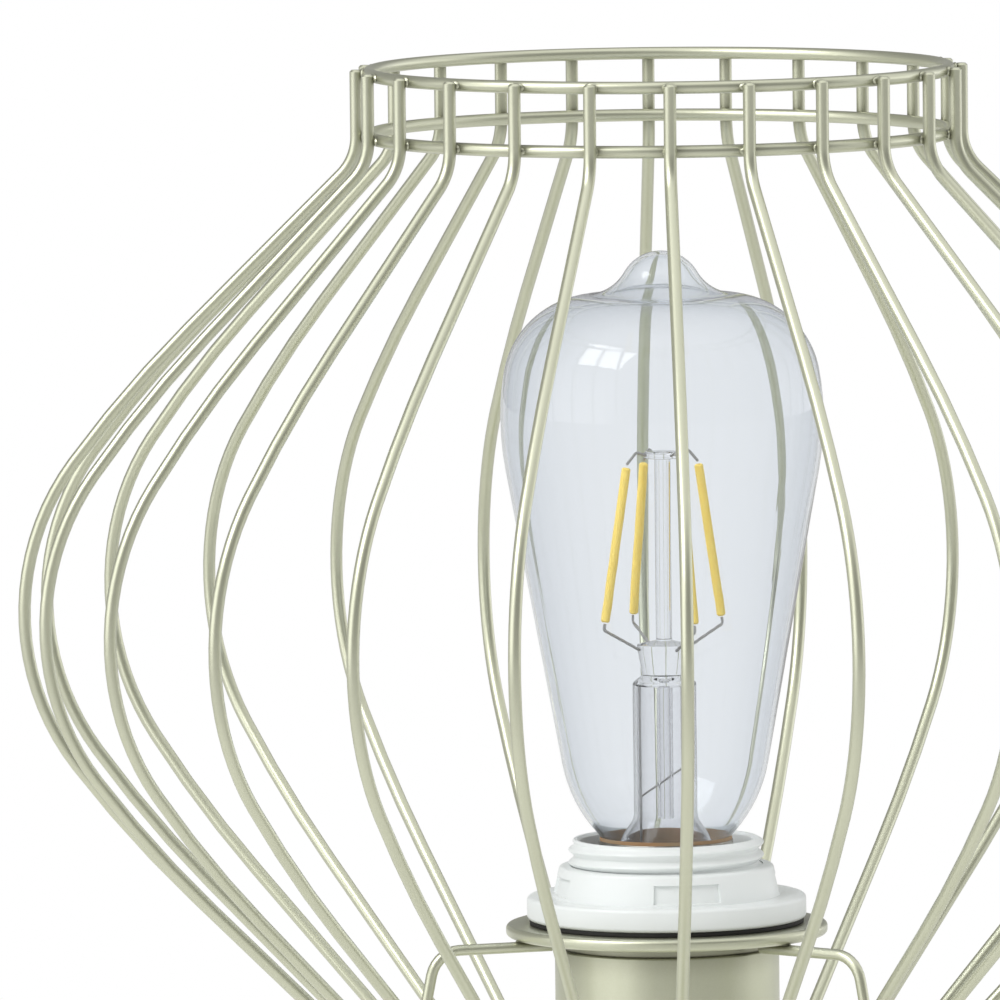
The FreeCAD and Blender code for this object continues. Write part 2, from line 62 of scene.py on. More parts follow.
# Fineness of the meshes
SHARP_EDGE = math.radians(32)
ARC_STEP = math.radians(4)
CORNER_STEP = 3 * ARC_STEP
CUT_SIDE = math.radians(0.12)         # half the width of a cut's side wall
ON_AXIS = 1e-7
ON_WALL = 1 / 20                      # share of a thread's swing that counts as on its wall
ROUND_COLUMNS = 96
WIRE_SIDES = 14
FILAMENT_SIDES = 20
SUPPORT_SIDES = 8
BEAD_SEGMENTS = 12
BEAD_RINGS = 8
THREAD_ROWS = 10                      # rows in a turn of the sleeve's and the ring's thread
CAP_ROWS = 12                         # rows in a turn of the cap's and the screw shell's thread

# Small sizes and shares that follow the pieces
END_SOFTNESS = 1 / 3                  # rounding of a bar's end, of its radius
RING_SLIP = 0.3 * MM                  # between the threads of the sleeve and the clamping ring
WELD_SPREAD = 0.12                    # how far weld beads differ from their size
WELD_WAVE = 2.4                       # step from bead to bead in the wave that varies them
GRIP_EDGE = 1 / 8                     # height of a grip flat's edge, of its depth
WAIST_SHARE = 1 / 5                   # press waist over the press foot, of the press height
PRONG_SHARE = 1 / 8                   # prongs below the press top, of the press height
CROSSING_START = 0.6                  # crossing lead over the stem's flare, of the flare height
CROSSING_RISE = 0.8                   # rise of the crossing lead, of the flare height
CROSSING_SIDE = 0.7                   # upper side of the crossing lead, of the stem's inside
LEAD_GIRTH = 0.8                      # lead-in wires, of the support wires' radius

# Finishes and stage
THIN_GLASS = 1.33                     # refraction of walls too thin to bend much light
EDGE_FALL = 1.7                       # how fast the painted edge shade of glass deepens toward its edge
PATCH_DETAIL = 4.0
GRAIN_DETAIL = 2.0
DUST_DETAIL = 5.0
CORNER_SAMPLES = 8                    # rays that look for a close surface, for the painted corner shade
BUMP_STRENGTH = 0.6
FINISH_PREFIX = "lamp_"
CEILING_RISE = 0.5                    # upward share of a ray that sees only the ceiling
FLOOR_DROP = 0.1 * MM                 # keeps the floor clear of the base pad
FLOOR_SEGMENTS = 96
KEY_PLACE = (-1.75, -1.25, 2.4)       # metres
KEY_SIDES = (1.9, 1.3)                # metres
SENSOR_WIDTH = 36.0                   # millimetres
FAR_CLIP = 50.0                       # metres


def foot(node):
    """Lowest level of a node."""
    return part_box(node)[0].z


def head(node):
    """Highest level of a node."""
    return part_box(node)[1].z


def middle(node):
    """Level halfway up a node."""
    return (head(node) + foot(node)) / 2


def reach(node):
    """Outer radius of a round node about the lamp's axis."""
    low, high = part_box(node)
    return (high.x - low.x) / 2


def srgb(red, green, blue):
    """Linear colour of an on-screen one from 0 to 255."""
    linear = []
    for value in (red, green, blue):
        share = value / 255
        linear.append(share / 12.92 if share <= 0.04045 else ((share + 0.055) / 1.055) ** 2.4)
    return tuple(linear)


def opaque(colour):
    """A colour with full alpha."""
    return (*colour, 1.0)


# Outlines

def traced(start, heading, moves):
    """Points (radius, height) along moves: (length, 0) straight on, or (radius, turn) round an arc."""
    points = [Vector(start)]
    course = heading
    for size, turn in moves:
        if turn == 0:
            points.append(points[-1] + size * Vector((math.cos(course), math.sin(course))))
            continue
        steps = max(2, math.ceil(abs(turn) / ARC_STEP))
        half = turn / steps / 2
        chord = 2 * size * math.sin(abs(half))
        for _ in range(steps):
            course += half
            points.append(points[-1] + chord * Vector((math.cos(course), math.sin(course))))
            course += half
    return points


def rounded(corners, closed=True):
    """Points through (radius, height, bend) corners, each bend a tangent arc."""
    points = []
    count = len(corners)
    for index, (radius, height, bend) in enumerate(corners):
        here = Vector((radius, height))
        is_end = not closed and index in (0, count - 1)
        if bend == 0 or is_end:
            points.append(here)
            continue
        back = (Vector(corners[index - 1][:2]) - here).normalized()
        ahead = (Vector(corners[(index + 1) % count][:2]) - here).normalized()
        half = back.angle(ahead) / 2
        centre = here + (back + ahead).normalized() * (bend / math.sin(half))
        sides = [here + way * (bend / math.tan(half)) - centre for way in (back, ahead)]
        start, end = [math.atan2(side.y, side.x) for side in sides]
        turn = (end - start + math.pi) % TAU - math.pi
        steps = max(3, math.ceil(abs(turn) / CORNER_STEP))
        for step in range(steps + 1):
            arm = start + turn * step / steps
            points.append(centre + bend * Vector((math.cos(arm), math.sin(arm))))
    return points


def plate(node, hole, hole_bend, edge_bend):
    """Outline of a flat ring or tube as tall and wide as its node."""
    low, high, radius = foot(node), head(node), reach(node)
    return rounded([
        (hole, low, hole_bend), (radius, low, edge_bend),
        (radius, high, edge_bend), (hole, high, hole_bend)])


def upright_run(radius, bottom, top, step):
    """Points up a wall, close enough together to carry a thread."""
    count = math.ceil(abs(top - bottom) / step)
    return [(radius, bottom + (top - bottom) * index / count, 0) for index in range(count + 1)]


def around(first, count):
    """Even angles around the axis from a first one."""
    return [first + TAU * index / count for index in range(count)]


def outward(turn):
    """Level direction at an angle from the front, positive to the right."""
    return Vector((math.sin(turn), -math.cos(turn), 0))


def facing(points, turn):
    """Points (radius, height) swung to an angle from the front."""
    return [outward(turn) * point[0] + UP * point[1] for point in points]


# Meshes

def columns_with_cuts(centres, span):
    """Column angles with a close pair at each side of each cut."""
    angles = around(0, ROUND_COLUMNS)
    for centre in centres:
        for edge in (centre - span / 2, centre + span / 2):
            angles += [(edge - CUT_SIDE) % TAU, (edge + CUT_SIDE) % TAU]
    return sorted(angles)


def in_cut(turn, centres, span):
    """Whether an angle lies in one of the cuts."""
    return any(abs((turn - centre + math.pi) % TAU - math.pi) < span / 2 for centre in centres)


def plain_turn(radius, height, turn):
    """Shape of a turned piece that is the same all round."""
    return radius, height


def thread_turn(walls, swing, pitch, datum):
    """Shape of a turned piece whose walls at the given radii wind as a round thread."""
    def shape(radius, height, turn):
        """Shape with the thread's wave on the walls."""
        if any(abs(radius - wall) < swing * ON_WALL for wall in walls):
            radius += swing * math.cos(turn - TAU * (height - datum) / pitch)
        return radius, height
    return shape


def revolve(mesh, outline, columns=None, shape=plain_turn):
    """Adds a closed outline, turned about the lamp's axis, to a mesh."""
    columns = columns or around(0, ROUND_COLUMNS)
    rows = []
    for point in outline:
        if point[0] < ON_AXIS:
            rows.append([mesh.verts.new((0, 0, point[1]))] * len(columns))
            continue
        ring = []
        for turn in columns:
            radius, height = shape(point[0], point[1], turn)
            ring.append(mesh.verts.new((radius * math.cos(turn), radius * math.sin(turn), height)))
        rows.append(ring)
    for low, high in zip(rows, rows[1:] + rows[:1]):
        for index in range(len(columns)):
            after = (index + 1) % len(columns)
            corners = []
            for corner in (low[index], low[after], high[after], high[index]):
                if corner not in corners:
                    corners.append(corner)
            if len(corners) > 2:
                mesh.faces.new(corners)


def sweep(mesh, points, radius, sides=WIRE_SIDES):
    """Adds a round bar along points, with softly rounded ends."""
    tangents = []
    for index in range(len(points)):
        before = points[max(index - 1, 0)]
        after = points[min(index + 1, len(points) - 1)]
        tangents.append((after - before).normalized())
    side = tangents[0].orthogonal().normalized()
    stations = []
    for point, along in zip(points, tangents):
        side = (side - along * side.dot(along)).normalized()
        stations.append((point, along, side, radius))
    soft = radius * END_SOFTNESS

    def moved(station, shift, girth):
        """A station shifted along the bar, with another girth."""
        return (station[0] + station[1] * shift, station[1], station[2], girth)

    first, last = stations[0], stations[-1]
    stations = [
        moved(first, 0, radius - soft), moved(first, soft, radius), *stations[1:-1],
        moved(last, -soft, radius), moved(last, 0, radius - soft)]
    rings = []
    for point, along, side, girth in stations:
        across = along.cross(side)
        rings.append([
            mesh.verts.new(point + girth * (side * math.cos(turn) + across * math.sin(turn)))
            for turn in around(0, sides)])
    for low, high in zip(rings, rings[1:]):
        for index in range(sides):
            after = (index + 1) % sides
            mesh.faces.new((low[index], low[after], high[after], high[index]))
    mesh.faces.new(reversed(rings[0]))
    mesh.faces.new(rings[-1])


def blob(mesh, centre, axes, sizes):
    """Adds an egg-shaped bead with its half sizes along three axes."""
    start = len(mesh.verts)
    dips = [math.pi * ring / BEAD_RINGS for ring in range(BEAD_RINGS + 1)]
    revolve(mesh, [(math.sin(dip), math.cos(dip)) for dip in dips], around(0, BEAD_SEGMENTS))
    spread = Matrix([axis * size for axis, size in zip(axes, sizes)]).transposed().to_4x4()
    mesh.verts.ensure_lookup_table()
    bmesh.ops.transform(mesh, matrix=Matrix.Translation(centre) @ spread, verts=mesh.verts[start:])


def add_piece(name, mesh, body, slot, *replaced, look=None):
    """Puts a finished mesh in the scene on its body, in its slot's finish or another look."""
    bmesh.ops.recalc_face_normals(mesh, faces=mesh.faces)
    data = bpy.data.meshes.new(name)
    mesh.to_mesh(data)
    mesh.free()
    data.shade_smooth()
    data.set_sharp_from_angle(angle=SHARP_EDGE)
    data.materials.append(finish(look or slot))
    piece = bpy.data.objects.new(name, data)
    bpy.context.scene.collection.objects.link(piece)
    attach(piece, body)
    if replaced:
        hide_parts(*replaced)


def turned_piece(name, outline, body, slot, columns=None, shape=plain_turn, look=None):
    """A turned piece that stands for the node of its name."""
    mesh = bmesh.new()
    revolve(mesh, outline, columns, shape)
    add_piece(name + "_turned", mesh, body, slot, name, look=look)


def shade_wire(node, form, points, radius):
    """A lacquered wire of the shade that stands for a node."""
    mesh = bmesh.new()
    sweep(mesh, points, radius)
    add_piece(node + form, mesh, "shade", "champagne_paint", node)


# Nodes

def add_node(tree, kind, **settings):
    """A node of a kind, with its settings."""
    node = tree.nodes.new(kind)
    for name, value in settings.items():
        setattr(node, name, value)
    return node


def feed(tree, socket, value):
    """Links a socket to another one, or sets it to a constant."""
    if isinstance(value, bpy.types.NodeSocket):
        tree.links.new(value, socket)
    else:
        socket.default_value = value


def add_math(tree, operation, first, second):
    """A maths node on two sockets or numbers, as its output."""
    node = add_node(tree, "ShaderNodeMath", operation=operation)
    feed(tree, node.inputs[0], first)
    feed(tree, node.inputs[1], second)
    return node.outputs[0]


def add_mix(tree, kind, factor, first, second):
    """A mix of two sockets or constants of a kind, Color or Float, as its output."""
    node = add_node(tree, "ShaderNodeMix", data_type="RGBA" if kind == "Color" else "FLOAT")
    sockets = {socket.identifier: socket for socket in node.inputs}
    feed(tree, sockets["Factor_Float"], factor)
    feed(tree, sockets["A_" + kind], first)
    feed(tree, sockets["B_" + kind], second)
    return next(socket for socket in node.outputs if socket.identifier == "Result_" + kind)


def add_ramp(tree, value, start, end, low, high):
    """A value that eases from low to high while another goes from start to end, as its output."""
    node = add_node(tree, "ShaderNodeMapRange", interpolation_type="SMOOTHSTEP")
    names = ("Value", "From Min", "From Max", "To Min", "To Max")
    for name, setting in zip(names, (value, start, end, low, high)):
        feed(tree, node.inputs[name], setting)
    return node.outputs[0]


def object_place(tree):
    """Object coordinates, in metres on the lamp."""
    return add_node(tree, "ShaderNodeTexCoord").outputs["Object"]


def add_noise(tree, scale, detail):
    """A noise texture's value on the lamp, with the scale from a socket."""
    node = add_node(tree, "ShaderNodeTexNoise")
    feed(tree, node.inputs["Detail"], detail)
    feed(tree, node.inputs["Vector"], object_place(tree))
    feed(tree, node.inputs["Scale"], scale)
    return node.outputs[0]


def blend_surfaces(tree, factor, first, second):
    """Mixes two shaders into a material's surface."""
    blend = add_node(tree, "ShaderNodeMixShader")
    for socket, source in zip(blend.inputs, (factor, first, second)):
        tree.links.new(source, socket)
    tree.links.new(blend.outputs[0], tree.nodes["Material Output"].inputs["Surface"])


# Node groups shared by the finishes

def new_group(name, colours, numbers, results):
    """An empty node group with colour and number inputs, and its entry and exit nodes."""
    group = bpy.data.node_groups.new(name, "ShaderNodeTree")
    for socket_name in colours + numbers:
        kind = "NodeSocketColor" if socket_name in colours else "NodeSocketFloat"
        group.interface.new_socket(name=socket_name, in_out="INPUT", socket_type=kind)
    for socket_name in results:
        kind = "NodeSocketColor" if socket_name == "Color" else "NodeSocketFloat"
        group.interface.new_socket(name=socket_name, in_out="OUTPUT", socket_type=kind)
    return group, group.nodes.new("NodeGroupInput").outputs, group.nodes.new("NodeGroupOutput").inputs


def mottle_group(name):
    """Two colours in soft patches, a roughness range that follows them, and a fine grain's height."""
    group, given, result = new_group(
        name, ("Color", "Second Color"),
        ("Patch Scale", "Grain Scale", "Low Roughness", "High Roughness"), ("Color", "Roughness", "Height"))
    patches = add_noise(group, given["Patch Scale"], PATCH_DETAIL)
    grain = add_noise(group, given["Grain Scale"], GRAIN_DETAIL)
    spread = add_math(group, "SUBTRACT", given["High Roughness"], given["Low Roughness"])
    mean = add_math(group, "MULTIPLY", add_math(group, "ADD", patches, grain), 0.5)
    rough = add_math(group, "ADD", given["Low Roughness"], add_math(group, "MULTIPLY", spread, mean))
    group.links.new(add_mix(group, "Color", patches, given["Color"], given["Second Color"]), result["Color"])
    group.links.new(rough, result["Roughness"])
    group.links.new(grain, result["Height"])
    return group


def overlay_group(name, second, numbers, cover_of):
    """A second colour laid over a first one where a cover lies, and the cover's mask."""
    group, given, result = new_group(name, ("Color", second), (*numbers, "Amount"), ("Color", "Mask"))
    mask = add_math(group, "MULTIPLY", cover_of(group, given), given["Amount"])
    group.links.new(add_mix(group, "Color", mask, given["Color"], given[second]), result["Color"])
    group.links.new(mask, result["Mask"])
    return group


def flake_cover(group, given):
    """A random tone for each small cell, as metal flakes in a lacquer or crystals in a plating."""
    cells = add_node(group, "ShaderNodeTexVoronoi")
    group.links.new(object_place(group), cells.inputs["Vector"])
    group.links.new(given["Flake Scale"], cells.inputs["Scale"])
    split = add_node(group, "ShaderNodeSeparateColor")
    group.links.new(cells.outputs["Color"], split.inputs["Color"])
    return split.outputs["Red"]


def dust_cover(group, given):
    """A film that gathers in patches on faces that look up."""
    upward = add_node(group, "ShaderNodeSeparateXYZ")
    group.links.new(add_node(group, "ShaderNodeNewGeometry").outputs["Normal"], upward.inputs[0])
    facing_up = add_math(group, "MAXIMUM", upward.outputs["Z"], 0.0)
    return add_math(group, "MULTIPLY", facing_up, add_noise(group, given["Patch Scale"], DUST_DETAIL))


def crevice_shade_cover(group, given):
    """Painted shade in tight corners, darker where one surface closes on another within the reach."""
    openness = add_node(group, "ShaderNodeAmbientOcclusion", samples=CORNER_SAMPLES)
    group.links.new(given["Reach"], openness.inputs["Distance"])
    return add_math(group, "SUBTRACT", 1.0, openness.outputs["AO"])


GROUP_MAKERS = {
    "Mottled Surface": mottle_group,
    "Flakes": lambda name: overlay_group(name, "Flake Color", ("Flake Scale",), flake_cover),
    "Settled Dust": lambda name: overlay_group(name, "Dust Color", ("Patch Scale",), dust_cover),
    "Crevice Shade": lambda name: overlay_group(name, "Corner Shade Color", ("Reach",), crevice_shade_cover),
}


def place_group(tree, name, **values):
    """Places a shared group in a material, building it the first time."""
    node = tree.nodes.new("ShaderNodeGroup")
    node.node_tree = bpy.data.node_groups.get(name) or GROUP_MAKERS[name](name)
    for socket_name, value in values.items():
        node.inputs[socket_name.replace("_", " ").title()].default_value = value
    return node


# Finishes

def new_finish(name):
    """A material with its node tree and shader."""
    material = bpy.data.materials.new(name)
    material.use_nodes = True
    return material, material.node_tree, material.node_tree.nodes["Principled BSDF"]


def lay_surface(tree, shader, colour, second, patches, grain, roughness):
    """Feeds a shader's colour and roughness from the mottled group, and returns the group's node."""
    surface = place_group(
        tree, "Mottled Surface", color=opaque(colour), second_color=opaque(second), patch_scale=patches,
        grain_scale=grain, low_roughness=roughness[0], high_roughness=roughness[1])
    tree.links.new(surface.outputs["Color"], shader.inputs["Base Color"])
    tree.links.new(surface.outputs["Roughness"], shader.inputs["Roughness"])
    return surface


def mottled_finish(colour, second, patches, grain, roughness, depth, overlays=(), **constants):
    """Two close colours in patches with a fine grain of a depth in metres, under overlay groups."""
    material, tree, shader = new_finish(FINISH_PREFIX)
    surface = lay_surface(tree, shader, colour, second, patches, grain, roughness)
    shown = surface.outputs["Color"]
    for group_name, values in overlays:
        overlay = place_group(tree, group_name, **values)
        tree.links.new(shown, overlay.inputs["Color"])
        shown = overlay.outputs["Color"]
    tree.links.new(shown, shader.inputs["Base Color"])
    bump = add_node(tree, "ShaderNodeBump")
    bump.inputs["Distance"].default_value = depth
    bump.inputs["Strength"].default_value = BUMP_STRENGTH
    tree.links.new(surface.outputs["Height"], bump.inputs["Height"])
    tree.links.new(bump.outputs["Normal"], shader.inputs["Normal"])
    for socket_name, value in constants.items():
        shader.inputs[socket_name.replace("_", " ")].default_value = value
    return material


def flakes(colour, scale, amount):
    """Overlay of small cells of a second colour."""
    return "Flakes", {"flake_color": opaque(colour), "flake_scale": scale, "amount": amount}


def champagne_paint():
    """Satin champagne lacquer with fine metal flake and painted shade in its tight corners."""
    colours = bpy.context.scene.lamp_colours
    # Painted shade: the lacquer darkens to a dark olive where surfaces close in, as at the welds and under
    # the fitter ring.
    painted_shade = {"corner_shade_color": opaque(colours.lacquer_corner_shade), "reach": 7 * MM, "amount": 1.0}
    return mottled_finish(
        colours.lacquer, colours.lacquer_shade, patches=60, grain=1500, roughness=(0.3, 0.38),
        depth=0.006 * MM, overlays=[flakes(colours.lacquer_flake, 5000, 0.12), ("Crevice Shade", painted_shade)],
        Metallic=0.8, Coat_Weight=0.3, Coat_Roughness=0.12)


def white_plastic():
    """Moulded white plastic with a light satin texture."""
    colours = bpy.context.scene.lamp_colours
    dust = {"dust_color": opaque(srgb(214, 214, 208)), "amount": 0.25, "patch_scale": 120}
    return mottled_finish(
        colours.plastic, colours.plastic_shade, patches=90, grain=2600, roughness=(0.28, 0.4),
        depth=0.012 * MM, overlays=[("Settled Dust", dust)])


def black_fibre():
    """Pressed black fibre sheet."""
    return mottled_finish(
        srgb(22, 22, 22), srgb(40, 39, 37), patches=700, grain=3000, roughness=(0.6, 0.8), depth=0.04 * MM)


def glass_finish(colour, second, edge):
    """Clear glass, painted darker where it is seen edge on, that lets the lamps' light through."""
    material = mottled_finish(
        colour, second, patches=25, grain=45, roughness=(0.0, 0.02), depth=0.03 * MM,
        IOR=THIN_GLASS, Transmission_Weight=1.0)
    tree = material.node_tree
    shader = tree.nodes["Principled BSDF"]
    base = shader.inputs["Base Color"]
    # Painted shade: the glass colour darkens toward the edge colour where the glass is seen edge on.
    slant = add_node(tree, "ShaderNodeLayerWeight").outputs["Facing"]
    edge_on = add_math(tree, "POWER", slant, EDGE_FALL)
    tree.links.new(add_mix(tree, "Color", edge_on, base.links[0].from_socket, opaque(edge)), base)
    shadow = add_node(tree, "ShaderNodeLightPath").outputs["Is Shadow Ray"]
    clear = add_node(tree, "ShaderNodeBsdfTransparent")
    blend_surfaces(tree, shadow, shader.outputs[0], clear.outputs[0])
    return material


def clear_glass():
    """Blown glass of the envelope, with a faint cool tint."""
    colours = bpy.context.scene.lamp_colours
    return glass_finish(colours.glass, colours.glass_shade, colours.glass_edge_shade)


def stem_glass():
    """Clearer glass of the stem inside the bulb."""
    colours = bpy.context.scene.lamp_colours
    return glass_finish(colours.stem_glass, colours.stem_glass, colours.stem_edge_shade)


def phosphor():
    """Yellow phosphor gel over the filaments' chips."""
    colours = bpy.context.scene.lamp_colours
    return mottled_finish(
        colours.phosphor, colours.phosphor_shade, patches=900, grain=4000, roughness=(0.45, 0.6),
        depth=0.03 * MM)


def support_wire():
    """Drawn nickel wire, slightly dulled."""
    return mottled_finish(
        srgb(184, 183, 181), srgb(150, 148, 146), patches=800, grain=5000, roughness=(0.28, 0.42),
        depth=0.01 * MM, Metallic=1.0)


def shell_brass():
    """Pressed brass with a brown tarnish."""
    return mottled_finish(
        srgb(196, 150, 92), srgb(134, 88, 48), patches=160, grain=2400, roughness=(0.24, 0.46),
        depth=0.015 * MM, Metallic=1.0)


def cap_nickel():
    """Nickel-plated cap with handling marks."""
    return mottled_finish(
        srgb(190, 187, 179), srgb(156, 152, 144), patches=220, grain=3200, roughness=(0.2, 0.38),
        depth=0.01 * MM, overlays=[flakes(srgb(228, 226, 220), 1400, 0.3)], Metallic=1.0)


def black_glass():
    """Fused black glass under the cap."""
    return mottled_finish(
        srgb(16, 16, 20), srgb(30, 29, 34), patches=240, grain=900, roughness=(0.08, 0.2), depth=0.02 * MM)


def cap_cement():
    """Baked brown cement between the glass and the cap."""
    return mottled_finish(
        srgb(190, 126, 62), srgb(160, 164, 146), patches=110, grain=1800, roughness=(0.5, 0.75),
        depth=0.1 * MM)


def steatite():
    """Unglazed cream ceramic with dark specks."""
    return mottled_finish(
        srgb(228, 220, 202), srgb(210, 200, 180), patches=150, grain=2200, roughness=(0.5, 0.68),
        depth=0.03 * MM, overlays=[flakes(srgb(150, 140, 122), 1800, 0.18)])


def zinc_steel():
    """Zinc-plated steel with its spangle."""
    return mottled_finish(
        srgb(178, 182, 186), srgb(150, 154, 158), patches=120, grain=2600, roughness=(0.28, 0.48),
        depth=0.015 * MM, overlays=[flakes(srgb(206, 209, 211), 500, 0.45)], Metallic=1.0)


def cast_iron():
    """Rough cast iron under a thin black wash."""
    return mottled_finish(
        srgb(52, 51, 50), srgb(76, 72, 68), patches=110, grain=900, roughness=(0.62, 0.85),
        depth=0.25 * MM, Metallic=0.4)


def felt_pad():
    """Dense dark felt."""
    return mottled_finish(
        srgb(44, 43, 41), srgb(66, 64, 60), patches=350, grain=2400, roughness=(0.85, 1.0),
        depth=0.2 * MM, overlays=[flakes(srgb(92, 90, 85), 2600, 0.4)])


def pale_grommet():
    """Pale moulded rubber."""
    return mottled_finish(
        srgb(206, 205, 190), srgb(190, 189, 172), patches=200, grain=2600, roughness=(0.5, 0.65),
        depth=0.02 * MM)


def terminal_plastic():
    """Milky moulded plastic of a terminal block."""
    return mottled_finish(
        srgb(232, 229, 216), srgb(218, 214, 198), patches=160, grain=2000, roughness=(0.35, 0.5),
        depth=0.015 * MM)


def lead_sleeve():
    """Grey insulation of the inner leads."""
    return mottled_finish(
        srgb(196, 194, 190), srgb(176, 174, 169), patches=300, grain=2400, roughness=(0.4, 0.55),
        depth=0.015 * MM)


def driver_board():
    """Pale laminate with a darker solder mask in patches."""
    return mottled_finish(
        srgb(196, 202, 168), srgb(92, 128, 84), patches=260, grain=2000, roughness=(0.35, 0.55),
        depth=0.02 * MM, overlays=[flakes(srgb(198, 198, 194), 420, 0.35)])


FINISHES = {maker.__name__: maker for maker in (
    champagne_paint, white_plastic, black_fibre, clear_glass, stem_glass, phosphor, support_wire,
    shell_brass, cap_nickel, cap_cement, black_glass, steatite, zinc_steel, cast_iron, felt_pad,
    pale_grommet, terminal_plastic, lead_sleeve, driver_board)}


def finish(name):
    """The material of a finish, made the first time it is asked for."""
    made = bpy.data.materials.get(FINISH_PREFIX + name)
    if made is None:
        made = FINISHES[name]()
        made.name = FINISH_PREFIX + name
    return made


# Sizes and colours

def length(label, description, millimetres):
    """A length property in metres, from its size in millimetres."""
    return bpy.props.FloatProperty(
        name=label, description=description, default=millimetres * MM, min=0.0, unit="LENGTH", precision=5)


def angle(label, description, degrees):
    """An angle property."""
    return bpy.props.FloatProperty(
        name=label, description=description, default=math.radians(degrees), subtype="ANGLE")


def tint(label, description, *tone):
    """A colour property, from an on-screen colour."""
    return bpy.props.FloatVectorProperty(
        name=label, description=description, default=srgb(*tone), min=0.0, max=1.0, subtype="COLOR", size=3)


def number(label, description, default):
    """A property that counts pieces."""
    return bpy.props.IntProperty(name=label, description=description, default=default, min=1)


def strength(label, description, default, **more):
    """A property for a brightness or a share of one."""
    return bpy.props.FloatProperty(name=label, description=description, default=default, min=0.0, **more)


class CageSizes(bpy.types.PropertyGroup):
    """Sizes of the wire cage."""
    wire_count: number("Wires", "Bowed wires around the cage", 24)
    first_angle: angle("First wire", "Angle of the first wire from the front", 2.0)
    wire_radius: length("Wire radius", "Radius of the bowed wires", 1.25)
    weld_gap: length("Weld gap", "Gap between a wire and the ring it is welded to", 0.05)
    belly_radius: length("Belly radius", "Centre line of the wires at the widest", 126.5)
    bend_radius: length("Bend radius", "Bend between the collar and the flank", 10.6)
    flank_angle: angle("Flank angle", "Slope of the straight flank from upright", 45.4)
    crown_angle: angle("Crown angle", "Half the turn of the widest arc", 37.0)
    crown_arc: length("Crown arc", "Radius of the widest arc", 50.0)
    flank_arc: length("Flank arc", "Radius of the gentle arc beside the crown", 240.0)
    collar_rise: length("Collar rise", "Upright run at the wires' top ends", 13.2)
    tail_length: length("Tail", "Upright run at the wires' lower ends", 4.0)
    bead_length: length("Weld length", "Half length of a weld bead along the ring", 1.5)
    bead_height: length("Weld height", "Half height of a weld bead on a ring", 1.0)
    bead_depth: length("Weld depth", "Half depth of a weld bead", 0.6)


class FitterSizes(bpy.types.PropertyGroup):
    """Sizes of the fitter that carries the cage."""
    hole_radius: length("Hole radius", "Hole in the fitter ring", 20.3)
    edge_bend: length("Edge bend", "Rounded edge of the fitter ring", 0.9)
    arm_radius: length("Arm radius", "Radius of the arm wire", 1.1)
    arm_count: number("Arms", "Arms from the fitter to the cage", 3)
    arm_angle: angle("First arm", "Angle of the first arm from the front", 50.0)
    arm_start: length("Arm start", "Inner end of an arm from the axis", 24.0)
    arm_corner: length("Arm corner", "Corner of an arm from the axis", 48.5)
    arm_bend: length("Arm bend", "Bend at an arm's corner", 6.0)
    arm_tail: length("Arm tail", "Run of an arm past the lowest ring", 2.0)


class HolderSizes(bpy.types.PropertyGroup):
    """Sizes of the cup, lampholder and clamping ring."""
    cup_wall: length("Cup wall", "Sheet thickness of the cup", 1.2)
    cup_corner: length("Cup corner", "Outer bend at the cup's floor", 4.0)
    cup_lip: length("Cup lip", "Bend at the cup's shoulder", 0.6)
    neck_radius: length("Neck radius", "Outer radius of the cup's neck", 21.4)
    neck_height: length("Neck height", "Height of the neck over the shoulder", 2.2)
    notch_count: number("Notches", "Notches around the neck", 2)
    notch_width: length("Notch width", "Width of the notches in the neck", 9.0)
    notch_depth: length("Notch depth", "Depth of the notches in the neck", 1.4)
    notch_angle: angle("Notch angle", "First notch from the front", -72.0)
    rod_hole: length("Rod hole", "Hole for the through rod", 5.1)
    thread_radius: length("Thread radius", "Middle of the sleeve's outer thread", 18.85)
    thread_swing: length("Thread swing", "Half the depth of the sleeve's thread", 0.55)
    thread_pitch: length("Thread pitch", "Rise of the sleeve's thread in a turn", 2.5)
    thread_start: length("Thread start", "Thread below the clamping ring's seat", 1.5)
    bore_radius: length("Bore radius", "Inside of the sleeve", 17.2)
    rim_chamfer: length("Rim chamfer", "Bevel at the sleeve's mouth", 0.5)
    flange_height: length("Flange height", "Thickness of the clamping ring's flange", 4.6)
    flange_bend: length("Flange bend", "Rounded edges of the clamping ring", 0.8)
    collar_foot: length("Collar foot", "Radius of the ring's collar at the flange", 22.6)
    collar_top: length("Collar top", "Radius of the ring's collar at the top", 21.2)
    grip_count: number("Grips", "Grip flats around the clamping ring", 4)
    grip_angle: angle("Grip angle", "First grip flat from the front", 11.0)
    grip_span: angle("Grip span", "Width of one grip flat", 35.0)
    grip_depth: length("Grip depth", "Depth of the grip flats", 0.7)
    grip_sill: length("Grip sill", "Grip's lower edge over the flange", 0.5)
    grip_head: length("Grip head", "Grip's upper edge below the top", 2.0)


